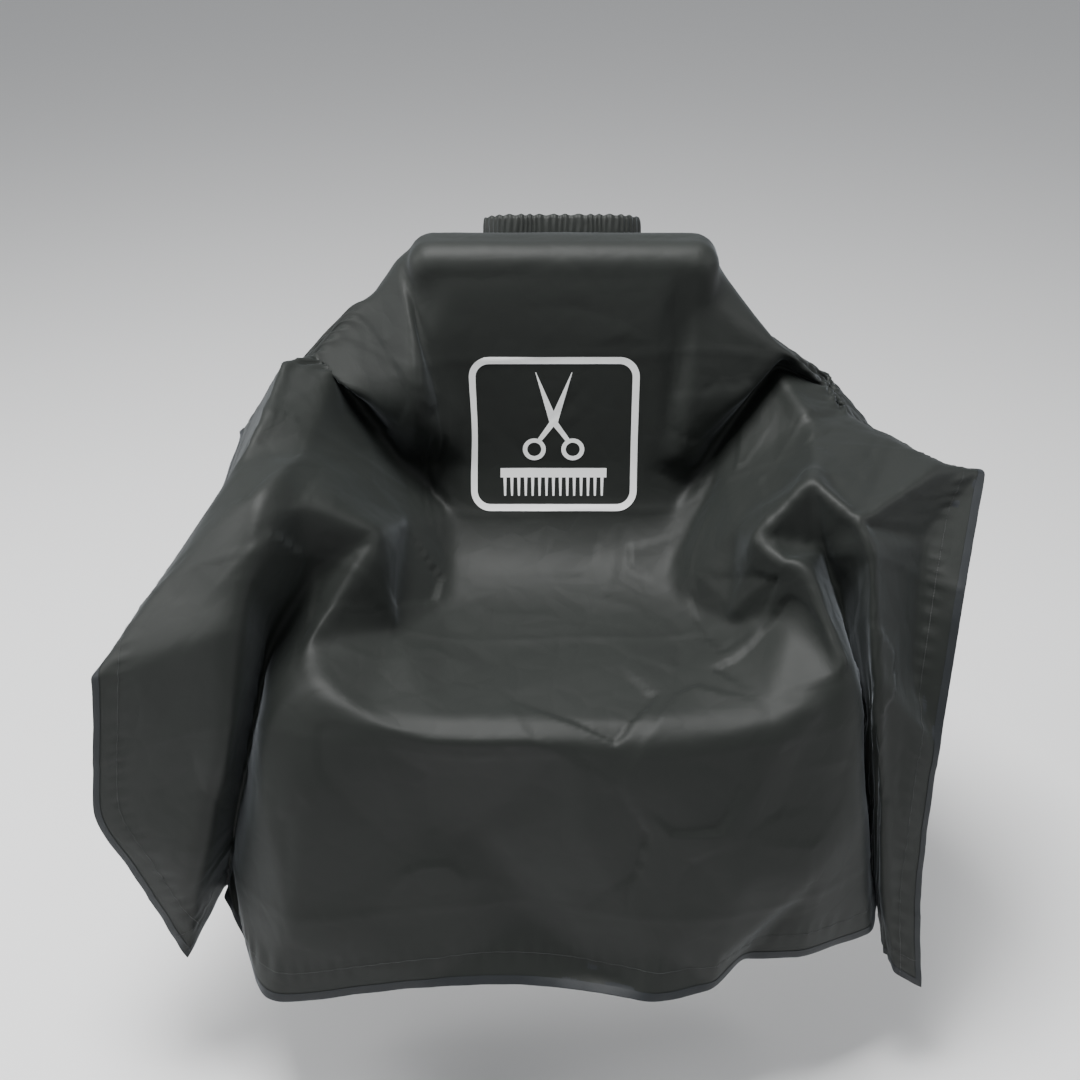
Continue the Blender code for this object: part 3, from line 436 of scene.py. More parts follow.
class ClothSolver:
    """Turns the folded guide into cloth.

    Pairs of points are pulled to their distance on the flat cape, strongly when stretched and weakly when
    pushed together; a stiffness against bending rounds the ridges. Each pass also lets the cloth sink a
    little, follow the guide weakly and stay off the chair.
    """

    # spacing, passes, share of the way to the guide, stiffness against bending, against being squeezed
    PLAN = [(0.040, 150, 0.04, 0.01, 0.90), (0.020, 160, 0.07, 0.03, 0.35), (0.010, 140, 0.10, 0.040, 0.05)]
    # rows and columns apart, stiffness
    OFFSETS = [(0, 1, 1.0), (1, 0, 1.0), (1, 1, 0.4), (1, -1, 0.4)]
    SINK = 0.00001
    MOMENTUM = 0.80

    def __init__(self, drape: Drape) -> None:
        """Keep the guide surface."""
        self.drape = drape

    @staticmethod
    def axes(spacing: float) -> tuple[ARRAY, ARRAY]:
        """Flat u and v values of a grid with no column on the slit at u = 0."""
        columns = 2 * int(round(FLAT.half / spacing))
        rows = int(round(FLAT.length / spacing)) + 1
        return np.linspace(-FLAT.half, FLAT.half, columns), np.linspace(0.0, FLAT.length, rows)

    def solve(self, quick: bool) -> Sheet:
        """Settle the sheet on three grids, each finer than the last.

        Args:
            quick: leave out the finest grid, for a look while working.

        Returns:
            The settled sheet.
        """
        sheet = None
        for spacing, passes, follow, stiffness, squeeze in self.PLAN[:2] if quick else self.PLAN:
            u, v = self.axes(spacing)
            flat = np.stack(np.meshgrid(u, v), axis=-1).reshape(-1, 2)
            guide = self.rounded(self.drape.at(flat).reshape(len(v), len(u), 3), u, v).reshape(-1, 3)
            points = guide.copy() if sheet is None else sheet.at(flat)
            points = self.relax(points, guide, u, v, passes, follow, stiffness, squeeze)
            sheet = Sheet(u, v, points.reshape(len(v), len(u), 3))
        return sheet

    @staticmethod
    def rounded(grid: ARRAY, u: ARRAY, v: ARRAY) -> ARRAY:
        """The guide with its middle evened out, where the cloth curves smoothly from seat to back."""
        passes = int(round((0.035 / (v[1] - v[0])) ** 2)) + 1
        soft = grid.copy()
        for _ in range(passes):
            soft[1:-1] = (soft[:-2] + 2 * soft[1:-1] + soft[2:]) / 4
            soft[:, 1:-1] = (soft[:, :-2] + 2 * soft[:, 1:-1] + soft[:, 2:]) / 4
        away = (np.abs(u)[None] / 0.20) ** 4 + ((v[:, None] - 0.70) / 0.22) ** 4
        share = np.exp(-away)[..., None]
        return grid * (1 - share) + soft * share

    def links(self, u: ARRAY, v: ARRAY) -> list[tuple[ARRAY, ARRAY, float, float]]:
        """Pairs of points with their flat distance, in groups in which no point comes twice."""
        rows, columns = len(v), len(u)
        index = np.arange(rows * columns).reshape(rows, columns)
        groups = []
        for down, right, stiffness in self.OFFSETS:
            low, high = max(0, -right), columns - max(0, right)
            first = index[:rows - down, low:high]
            second = index[down:, low + right:high + right]
            row, column = np.meshgrid(np.arange(rows - down), np.arange(low, high), indexing="ij")
            colour = row % 2 if down else column % 2
            split = (u[column] < 0) != (u[column + right] < 0)
            whole = ~(split & (v[row] > FLAT.neck_v + FLAT.neck_half_v))
            rest = math.hypot(right * (u[1] - u[0]), down * (v[1] - v[0]))
            for shade in (0, 1):
                chosen = whole & (colour == shade)
                groups.append((first[chosen], second[chosen], rest, stiffness))
        return groups

    @staticmethod
    def bend(grid: ARRAY, slit_row: int) -> ARRAY:
        """How far each point lies from the middle of its four neighbours; the slit's sides stay apart."""
        left = np.concatenate([grid[:, :1], grid[:, :-1]], axis=1)
        right = np.concatenate([grid[:, 1:], grid[:, -1:]], axis=1)
        middle = grid.shape[1] // 2
        right[slit_row:, middle - 1] = grid[slit_row:, middle - 1]
        left[slit_row:, middle] = grid[slit_row:, middle]
        below = np.concatenate([2 * grid[:1] - grid[1:2], grid[:-1]])
        above = np.concatenate([grid[1:], 2 * grid[-1:] - grid[-2:-1]])
        left[:, 0] = 2 * grid[:, 0] - grid[:, 1]
        right[:, -1] = 2 * grid[:, -1] - grid[:, -2]
        return (left + right + below + above) / 4 - grid

    def relax(self, points: ARRAY, guide: ARRAY, u: ARRAY, v: ARRAY, passes: int, follow: float,
              stiffness: float, squeeze: float) -> ARRAY:
        """Run the passes on one grid.

        Args:
            points: (n, 3) start.
            guide: (n, 3) drape that the points follow.
            u: the grid's values across.
            v: the grid's values along.
            passes: how many.
            follow: share of the way to the guide in the first pass.
            stiffness: how strongly a bend is evened out.
            squeeze: how strongly the cloth resists being pushed together, as a share of its pull.

        Returns:
            (n, 3) settled points.
        """
        groups = self.links(u, v)
        shape = (len(v), len(u), 3)
        slit_row = int(np.searchsorted(v, FLAT.neck_v + FLAT.neck_half_v))
        before = points.copy()
        for turn in range(passes):
            moved = points + self.MOMENTUM * (points - before)
            before, points = points, moved
            points[:, 2] -= self.SINK
            points += follow * (1.0 - 0.8 * turn / passes) * (guide - points)
            for first, second, rest, pull in groups:
                gap = points[second] - points[first]
                length = np.sqrt(np.einsum("ij,ij->i", gap, gap))
                error = (length - rest) / np.maximum(length, 1e-9)
                error = np.where(error < 0, squeeze * error, error)
                move = (0.5 * pull * error)[:, None] * gap
                points[first] += move
                points[second] -= move
            bend = self.bend(points.reshape(shape), slit_row)
            points -= stiffness * self.bend(bend, slit_row).reshape(-1, 3)
            for block in CHAIR:
                block.push(points, 0.002)
        return points


def new_piece(name: str, points: ARRAY, faces: ARRAY | list, flat: ARRAY | None = None) -> bpy.types.Object:
    """Make a mesh object at the origin, shaded smooth, with its flat places as a UV map in metres.

    Args:
        name: the object's name.
        points: (n, 3) vertices.
        faces: rows of vertex indices.
        flat: (n, 2) flat places, one for each vertex.

    Returns:
        The new object, linked to the scene.
    """
    mesh = bpy.data.meshes.new(name)
    mesh.from_pydata(np.asarray(points).tolist(), [], np.asarray(faces).tolist() if len(faces) else [])
    mesh.shade_smooth()
    if flat is not None:
        layer = mesh.uv_layers.new(name="Flat")
        corner = np.empty(len(mesh.loops), dtype=np.int32)
        mesh.loops.foreach_get("vertex_index", corner)
        layer.data.foreach_set("uv", np.asarray(flat, dtype=np.float32)[corner].ravel())
    obj = bpy.data.objects.new(name, mesh)
    bpy.context.scene.collection.objects.link(obj)
    return obj


def grid_faces(rows: int, columns: int) -> ARRAY:
    """Quads of a rows by columns grid of vertices."""
    index = np.arange(rows * columns).reshape(rows, columns)
    return np.stack([index[:-1, :-1], index[:-1, 1:], index[1:, 1:], index[1:, :-1]], axis=-1).reshape(-1, 4)


def shown_in(material: bpy.types.Material) -> tuple[bpy.types.Nodes, bpy.types.NodeLinks, bpy.types.Node]:
    """A material's nodes, its links and its main shader."""
    material.use_nodes = True
    tree = material.node_tree
    return tree.nodes, tree.links, tree.nodes["Principled BSDF"]


@dataclass(frozen=True)
class Nylon:
    """Thin coated plain-weave nylon: dark, with a soft sheen, fine crumples and a ribbed weave."""

    colour: tuple[float, float, float] = (0.0085, 0.0100, 0.0088)
    mottle: tuple[float, float, float] = (0.0125, 0.0148, 0.0128)
    roughness: float = 0.58
    specular: float = 0.28
    sheen: float = 0.12
    weave: float = 1500.0
    crumple: float = 24.0

    def material(self, name: str) -> bpy.types.Material:
        """Build the material.

        Args:
            name: the material's name.

        Returns:
            The new material, which reads the UV map called Flat, in metres.
        """
        mat = bpy.data.materials.new(name)
        nodes, links, shader = shown_in(mat)
        flat = nodes.new("ShaderNodeUVMap")
        flat.uv_map = "Flat"
        shade = nodes.new("ShaderNodeTexNoise")
        shade.inputs["Scale"].default_value = 5.0
        shade.inputs["Detail"].default_value = 4.0
        mix = nodes.new("ShaderNodeMix")
        mix.data_type = "RGBA"
        mix.inputs["A"].default_value = (*self.colour, 1.0)
        mix.inputs["B"].default_value = (*self.mottle, 1.0)
        links.new(flat.outputs["UV"], shade.inputs["Vector"])
        links.new(shade.outputs["Fac"], mix.inputs["Factor"])
        links.new(mix.outputs["Result"], shader.inputs["Base Color"])
        ribs = nodes.new("ShaderNodeTexWave")
        ribs.wave_type = "BANDS"
        ribs.bands_direction = "DIAGONAL"
        ribs.inputs["Scale"].default_value = self.weave
        ribs.inputs["Distortion"].default_value = 0.6
        links.new(flat.outputs["UV"], ribs.inputs["Vector"])
        soft = nodes.new("ShaderNodeTexVoronoi")
        soft.feature = "DISTANCE_TO_EDGE"
        soft.inputs["Scale"].default_value = self.crumple
        bend = nodes.new("ShaderNodeTexNoise")
        bend.inputs["Scale"].default_value = 14.0
        warp = nodes.new("ShaderNodeVectorMath")
        warp.operation = "MULTIPLY_ADD"
        warp.inputs[1].default_value = (0.03, 0.03, 0.0)
        links.new(flat.outputs["UV"], bend.inputs["Vector"])
        links.new(bend.outputs["Color"], warp.inputs[0])
        links.new(flat.outputs["UV"], warp.inputs[2])
        links.new(warp.outputs["Vector"], soft.inputs["Vector"])
        ramp = nodes.new("ShaderNodeMapRange")
        ramp.inputs["From Max"].default_value = 0.5
        links.new(soft.outputs["Distance"], ramp.inputs["Value"])
        first = nodes.new("ShaderNodeBump")
        first.inputs["Strength"].default_value = 0.8
        first.inputs["Distance"].default_value = 0.0006
        links.new(ramp.outputs["Result"], first.inputs["Height"])
        second = nodes.new("ShaderNodeBump")
        second.inputs["Strength"].default_value = 0.12
        second.inputs["Distance"].default_value = 0.0002
        links.new(ribs.outputs["Fac"], second.inputs["Height"])
        links.new(first.outputs["Normal"], second.inputs["Normal"])
        links.new(second.outputs["Normal"], shader.inputs["Normal"])
        shader.inputs["Roughness"].default_value = self.roughness
        shader.inputs["Specular IOR Level"].default_value = self.specular
        shader.inputs["Sheen Weight"].default_value = self.sheen
        shader.inputs["Sheen Roughness"].default_value = 0.35
        shader.inputs["Sheen Tint"].default_value = (0.85, 0.92, 1.0, 1.0)
        return mat


@dataclass(frozen=True)
class Plain:
    """A plain surface with fine grain: print ink, thread, elastic, snaps and label."""

    colour: tuple[float, float, float]
    roughness: float
    grain: float = 400.0
    grain_depth: float = 0.0
    sheen: float = 0.0

    def material(self, name: str) -> bpy.types.Material:
        """Build the material, with its grain set by the object's own coordinates."""
        mat = bpy.data.materials.new(name)
        nodes, links, shader = shown_in(mat)
        shader.inputs["Base Color"].default_value = (*self.colour, 1.0)
        shader.inputs["Roughness"].default_value = self.roughness
        shader.inputs["Sheen Weight"].default_value = self.sheen
        if self.grain_depth:
            place = nodes.new("ShaderNodeTexCoord")
            noise = nodes.new("ShaderNodeTexNoise")
            noise.inputs["Scale"].default_value = self.grain
            bump = nodes.new("ShaderNodeBump")
            bump.inputs["Strength"].default_value = 0.35
            bump.inputs["Distance"].default_value = self.grain_depth
            links.new(place.outputs["Object"], noise.inputs["Vector"])
            links.new(noise.outputs["Fac"], bump.inputs["Height"])
            links.new(bump.outputs["Normal"], shader.inputs["Normal"])
        return mat


class Palette:
    """The materials, made once and shared between the pieces."""

    def __init__(self) -> None:
        """Build every finish."""
        self.nylon = Nylon().material("black_nylon")
        self.hem = Nylon(colour=(0.0125, 0.0145, 0.0165), mottle=(0.016, 0.0185, 0.021)).material("hem_nylon")
        self.ink = Plain((0.84, 0.85, 0.84), 0.55, 900.0, 0.0001).material("white_ink")
        self.thread = Plain((0.022, 0.024, 0.026), 0.5, 1500.0, 0.0002, 0.4).material("black_thread")
        self.elastic = Plain((0.016, 0.016, 0.017), 0.85, 1200.0, 0.0004, 0.5).material("elastic")
        self.snap = Plain((0.014, 0.014, 0.016), 0.22, 300.0, 0.00005).material("snap_plastic")
        self.label = Plain((0.70, 0.70, 0.68), 0.8, 1500.0, 0.0003, 0.3).material("label_weave")


class Relief:
    """Small height of the cloth above its settled shape: packing creases, crumples and hem puckers."""

    PACKING = (0.110, 0.325, 0.540, 0.755, 0.970, 1.185)
    CREASE_RISE, CREASE_WIDTH = 0.0011, 0.005
    CRUMPLES, CRUMPLE_WIDTH, CRUMPLE_CURVE = 110, 0.006, 0.16
    FACETS, STEEPEST = 190, 0.085
    FLAT_ABOVE = 1.03       # no facets from here to the rear hem, nor under the print or on the hems
    PRINT_MARGIN, HEM_MARGIN = 0.01, 0.045
    FADES = (0.10, 0.05, 0.06)
    PUCKER_RISE, PUCKER_WIDTH = 0.00085, 0.014
    EDGE_RISE, EDGE_WIDTH = 0.0005, 0.02

    def __init__(self) -> None:
        """Scatter the crumples, always in the same places."""
        chance = np.random.default_rng(41)
        self.centre = chance.uniform((-FLAT.half, 0.0), (FLAT.half, FLAT.length), (self.CRUMPLES, 2))
        angle = chance.uniform(0.0, math.pi, self.CRUMPLES)
        self.direction = np.stack([np.cos(angle), np.sin(angle)], axis=1)
        self.reach = chance.uniform(0.02, 0.07, self.CRUMPLES)
        self.rise = chance.uniform(0.0005, 0.0014, self.CRUMPLES) * chance.choice((-1.0, 1.0), self.CRUMPLES)
        self.cell = chance.uniform((-FLAT.half, 0.0), (FLAT.half, FLAT.length), (self.FACETS, 2))
        self.steepness = chance.uniform(-self.STEEPEST, self.STEEPEST, self.FACETS)

    def facets(self, flat: ARRAY) -> ARRAY:
        """Heights of thin cloth's flat-sided crumpling: each cell is a low pyramid or a shallow pit."""
        square = (flat[:, :1] - self.cell[:, 0]) ** 2 + (flat[:, 1:] - self.cell[:, 1]) ** 2
        near = np.argpartition(square, 1, axis=1)[:, :2]
        low, high = np.take_along_axis(square, near, axis=1).T
        apart = np.linalg.norm(self.cell[near[:, 0]] - self.cell[near[:, 1]], axis=1)
        rear = self.FLAT_ABOVE - flat[:, 1]
        past_print = np.abs(flat - ChestPrint.CENTRE) - np.array(ChestPrint.SIZE) / 2
        ink = np.max(past_print, axis=1) - self.PRINT_MARGIN
        edge = np.minimum(FLAT.half - np.abs(flat[:, 0]), flat[:, 1]) - self.HEM_MARGIN
        free = np.clip(np.minimum.reduce([rear / self.FADES[0], ink / self.FADES[1], edge / self.FADES[2]]), 0.0, 1.0)
        return self.steepness[near[:, 0]] * (high - low) / (2 * apart) * free

    def at(self, flat: ARRAY) -> ARRAY:
        """Heights at (n, 2) flat points."""
        u, v = flat[:, 0], flat[:, 1]
        wander = 0.004 * np.sin(u * 9.0) + 0.002 * np.sin(u * 31.0 + 1.0)
        creases = sum(np.exp(-np.abs(v - line - wander) / self.CREASE_WIDTH) for line in self.PACKING)
        height = self.facets(flat) + self.CREASE_RISE * creases
        for centre, direction, reach, rise in zip(self.centre, self.direction, self.reach, self.rise):
            offset = flat - centre
            along = offset @ direction
            curve = self.CRUMPLE_CURVE * along**2 / reach
            off = np.abs(offset[:, 0] * direction[1] - offset[:, 1] * direction[0] + curve)
            height = height + rise * np.exp(-off / self.CRUMPLE_WIDTH) * np.exp(-((along / reach) ** 2))
        edges = ((v, u), (FLAT.half - np.abs(u), v), (FLAT.length - v, u))
        for away, run in edges:
            pucker = np.sin(run * 310.0 + 2.4 * np.sin(run * 23.0) + 1.3 * np.sin(run * 57.0))
            wave = np.sin(run * 120.0 + 3 * np.sin(run * 11.0))
            seam = np.exp(-(((away - FLAT.hem) / self.PUCKER_WIDTH) ** 2))
            height = height + self.PUCKER_RISE * pucker * seam
            height = height + self.EDGE_RISE * wave * np.exp(-away / self.EDGE_WIDTH)
        return height


class Cloth:
    """The settled sheet with its relief, on which every sewn or printed piece is laid."""

    def __init__(self, sheet: Sheet, relief: Relief) -> None:
        """Keep the sheet and its relief."""
        self.sheet, self.relief = sheet, relief

    def lay(self, flat: ARRAY, lift: ARRAY | float = 0.0) -> ARRAY:
        """Points a given height above the cloth's middle, with its relief."""
        return self.sheet.lifted(flat, self.relief.at(flat) + np.asarray(lift))


class CapeCloth:
    """The sheet itself, drawn finer near its edges, with the neck hole and the rear slit cut."""

    FINE, COARSE, EDGE = 0.0045, 0.0052, 0.06

    def __init__(self, cloth: Cloth, palette: Palette) -> None:
        """Keep the cloth and the materials."""
        self.cloth, self.palette = cloth, palette

    def stations(self, low: float, high: float) -> ARRAY:
        """Values from low to high, close together near either end."""
        count = int(round(self.EDGE / self.FINE))
        middle = int(round((high - low - 2 * self.EDGE) / self.COARSE))
        return np.concatenate([np.linspace(low, low + self.EDGE, count, endpoint=False),
                               np.linspace(low + self.EDGE, high - self.EDGE, middle, endpoint=False),
                               np.linspace(high - self.EDGE, high, count + 1)])

    def build(self) -> bpy.types.Object:
        """Make the sheet's mesh."""
        slit = FLAT.slit_gap / 2
        left = self.stations(-FLAT.half, -slit)
        u = np.concatenate([left, -left[::-1]])
        v = self.stations(0.0, FLAT.length)
        flat = np.stack(np.meshgrid(u, v), axis=-1).reshape(-1, 2)
        faces = grid_faces(len(v), len(u))
        centre = flat[faces].mean(axis=1)
        hole = ((centre[:, 0] / FLAT.neck_half_u) ** 2
                + ((centre[:, 1] - FLAT.neck_v) / FLAT.neck_half_v) ** 2) < 1.0
        open_slit = (np.abs(centre[:, 0]) < slit) & (centre[:, 1] > FLAT.neck_v)
        faces = faces[~(hole | open_slit)]
        used, faces = np.unique(faces, return_inverse=True)
        obj = new_piece("cape_cloth", self.cloth.lay(flat[used]), faces.reshape(-1, 4), flat[used])
        obj.data.materials.append(self.palette.nylon)
        return obj


@dataclass(frozen=True)
class Edge:
    """One straight edge of the flat cape: where it starts, where it ends and which way is inward."""

    name: str
    start: tuple[float, float]
    end: tuple[float, float]
    inward: tuple[float, float]
    width: float

    def place(self, run: ARRAY, depth: ARRAY) -> ARRAY:
        """Flat points at shares of the edge's length and distances inward."""
        start, end = np.array(self.start), np.array(self.end)
        return start + run[:, None] * (end - start) + depth[:, None] * np.array(self.inward)

    @property
    def length(self) -> float:
        """The edge's length."""
        return math.dist(self.start, self.end)


def cape_edges() -> list[Edge]:
    """The seven hemmed edges."""
    half, long, slit = FLAT.half, FLAT.length, FLAT.slit_gap / 2
    opening = FLAT.neck_v + FLAT.neck_half_v + 0.004
    return [
        Edge("front", (-half, 0.0), (half, 0.0), (0.0, 1.0), FLAT.hem),
        Edge("left", (-half, 0.0), (-half, long), (1.0, 0.0), FLAT.hem),
        Edge("right", (half, 0.0), (half, long), (-1.0, 0.0), FLAT.hem),
        Edge("rear_left", (-half, long), (-slit, long), (0.0, -1.0), FLAT.hem),
        Edge("rear_right", (slit, long), (half, long), (0.0, -1.0), FLAT.hem),
        Edge("opening_left", (-slit, opening), (-slit, long), (-1.0, 0.0), FLAT.opening_hem),
        Edge("opening_right", (slit, opening), (slit, long), (1.0, 0.0), FLAT.opening_hem),
    ]


class Hems:
    """The folded edges and the lock stitches that hold them."""

    # across the turned hem: distance inward as a share of its width, height above the cloth
    SECTION = ((0.26, 0.0005), (0.02, 0.0009), (-0.016, 0.0007), (-0.024, -0.0002), (-0.016, -0.0011),
               (0.02, -0.0014), (0.5, -0.0012), (0.98, -0.0013), (1.02, -0.0006))
    STEP = 0.004
    STITCH, PITCH, THREAD = 0.0026, 0.0034, 0.00026
    STITCH_SHARE, STITCH_LIFT = 0.94, 0.0004    # distance inward as a share of the hem, height

    def __init__(self, cloth: Cloth, palette: Palette) -> None:
        """Keep the cloth and the materials."""
        self.cloth, self.palette = cloth, palette

    def strip(self, edge: Edge) -> bpy.types.Object:
        """The turned-under layer of one hem, wrapped round the edge."""
        count = int(edge.length / self.STEP)
        run = np.linspace(0.0, 1.0, count)
        depth, lift = np.array(self.SECTION).T
        flat = np.concatenate([edge.place(run, np.full(count, share * edge.width)) for share in depth])
        points = self.cloth.lay(flat, np.repeat(lift, count))
        obj = new_piece(f"hem_{edge.name}_fold", points, grid_faces(len(depth), count), flat)
        obj.data.materials.append(self.palette.hem)
        return obj

    def stitches(self, edge: Edge) -> bpy.types.Object:
        """A row of thread stitches along one hem, each a small bar that dips at both ends."""
        count = int(edge.length / self.PITCH)
        middle = (np.arange(count) + 0.5) * self.PITCH / edge.length
        half = self.STITCH / 2 / edge.length
        sections = ((-1.0, 0.35, -0.7), (-0.6, 0.9, 0.3), (0.0, 1.0, 0.6), (0.6, 0.9, 0.3), (1.0, 0.35, -0.7))
        rings = []
        for step, girth, rise in sections:
            for side, height in ((-1.0, 0.0), (0.0, 1.0), (1.0, 0.0), (0.0, -1.0)):
                depth = np.full(count, self.STITCH_SHARE * edge.width + side * girth * self.THREAD)
                flat = edge.place(middle + step * half, depth)
                rings.append(self.cloth.lay(flat, self.STITCH_LIFT + (rise + height * girth) * self.THREAD))
        points = np.stack(rings, axis=1).reshape(-1, 3)
        quads = [(4 * ring + side, 4 * ring + (side + 1) % 4,
                  4 * ring + 4 + (side + 1) % 4, 4 * ring + 4 + side)
                 for ring in range(len(sections) - 1) for side in range(4)]
        quads += [(3, 2, 1, 0), tuple(4 * (len(sections) - 1) + side for side in range(4))]
        base = (np.arange(count) * 4 * len(sections))[:, None, None]
        faces = (base + np.array(quads)[None]).reshape(-1, 4)
        obj = new_piece(f"stitches_{edge.name}", points, faces)
        obj.data.materials.append(self.palette.thread)
        return obj

    def build(self) -> list[bpy.types.Object]:
        """Every hem with its stitches."""
        made = []
        for edge in cape_edges():
            made += [self.strip(edge), self.stitches(edge)]
        return made


class ChestPrint:
    """The white print: a rounded frame with scissors above a comb, laid on the cloth as thin ink."""

    CENTRE = (-0.012, 0.862)
    SIZE = (0.228, 0.214)
    LINE, CORNER = 0.0095, 0.028
    LIFT = 0.0007

    def __init__(self, cloth: Cloth, palette: Palette) -> None:
        """Keep the cloth and the materials."""
        self.cloth, self.palette = cloth, palette

    def ink(self, name: str, patches: list[tuple[ARRAY, ARRAY]]) -> bpy.types.Object:
        """Lay flat patches on the cloth as one piece.

        Args:
            name: the piece's name.
            patches: pairs of (n, 2) points from the print's middle and their quads.

        Returns:
            The new piece.
        """
        offset, points, faces = 0, [], []
        for flat, quads in patches:
            points.append(flat + np.array(self.CENTRE))
            faces.append(quads + offset)
            offset += len(flat)
        flat = np.concatenate(points)
        obj = new_piece(name, self.cloth.lay(flat, self.LIFT), np.concatenate(faces), flat)
        obj.data.materials.append(self.palette.ink)
        return obj

    @staticmethod
    def between(first: ARRAY, second: ARRAY, across: int = 4) -> tuple[ARRAY, ARRAY]:
        """Quads between two lines of as many points."""
        share = np.linspace(0.0, 1.0, across)[:, None, None]
        grid = first[None] * (1 - share) + second[None] * share
        return grid.reshape(-1, 2), grid_faces(across, len(first))

    def rounded(self, inset: float) -> ARRAY:
        """A closed rounded rectangle, as far in from the frame's outside as asked."""
        radius = self.CORNER - inset
        half = np.array(self.SIZE) / 2 - self.CORNER
        angle = np.linspace(0.0, math.tau, 73)
        quarter = np.minimum(np.floor(angle / (math.pi / 2) + 1e-9), 3).astype(int)
        corner = np.array([(1, 1), (-1, 1), (-1, -1), (1, -1)])[quarter] * half
        ring = corner + radius * np.stack([np.cos(angle), np.sin(angle)], axis=1)
        ring = np.concatenate([ring, ring[:1]])
        step = np.linalg.norm(np.diff(ring, axis=0), axis=1)
        place = np.concatenate([[0.0], np.cumsum(step)])
        even = np.linspace(0.0, place[-1], 260)
        return np.stack([np.interp(even, place, ring[:, axis]) for axis in (0, 1)], axis=1)

    def bar(self, start: tuple[float, float], end: tuple[float, float], widths: tuple[float, float]
            ) -> tuple[ARRAY, ARRAY]:
        """A straight bar that tapers from one width to another."""
        start, end = np.array(start), np.array(end)
        side = np.array((start[1] - end[1], end[0] - start[0])) / np.linalg.norm(end - start) / 2
        share = np.linspace(0.0, 1.0, 24)[:, None]
        line = start * (1 - share) + end * share
        width = widths[0] * (1 - share) + widths[1] * share
        return self.between(line - side * width, line + side * width)

    def ring(self, centre: tuple[float, float], inner: float, outer: float) -> tuple[ARRAY, ARRAY]:
        """A flat ring."""
        angle = np.linspace(0.0, math.tau, 41)
        circle = np.stack([np.cos(angle), np.sin(angle)], axis=1)
        return self.between(np.array(centre) + inner * circle, np.array(centre) + outer * circle)

    def build(self) -> list[bpy.types.Object]:
        """The frame, the comb and the scissors."""
        frame_ink = self.ink("print_frame_ink", [self.between(self.rounded(0.0), self.rounded(self.LINE))])
        teeth = [self.bar((x, -0.060), (x, -0.086), (0.0042, 0.0026)) for x in np.linspace(-0.066, 0.066, 15)]
        spine = self.bar((-0.072, -0.054), (0.072, -0.054), (0.013, 0.013))
        comb = self.ink("print_comb_ink", [spine, *teeth])
        pivot = (0.0, 0.018)
        shears = [self.ring(pivot, 0.0, 0.0052)]
        for side in (-1, 1):
            shears.append(self.bar(pivot, (side * 0.024, 0.086), (0.0115, 0.0010)))
            shears.append(self.bar(pivot, (-side * 0.019, -0.008), (0.0085, 0.0060)))
            shears.append(self.ring((-side * 0.026, -0.021), 0.0095, 0.0155))
        return [frame_ink, comb, self.ink("print_scissors_ink", shears)]


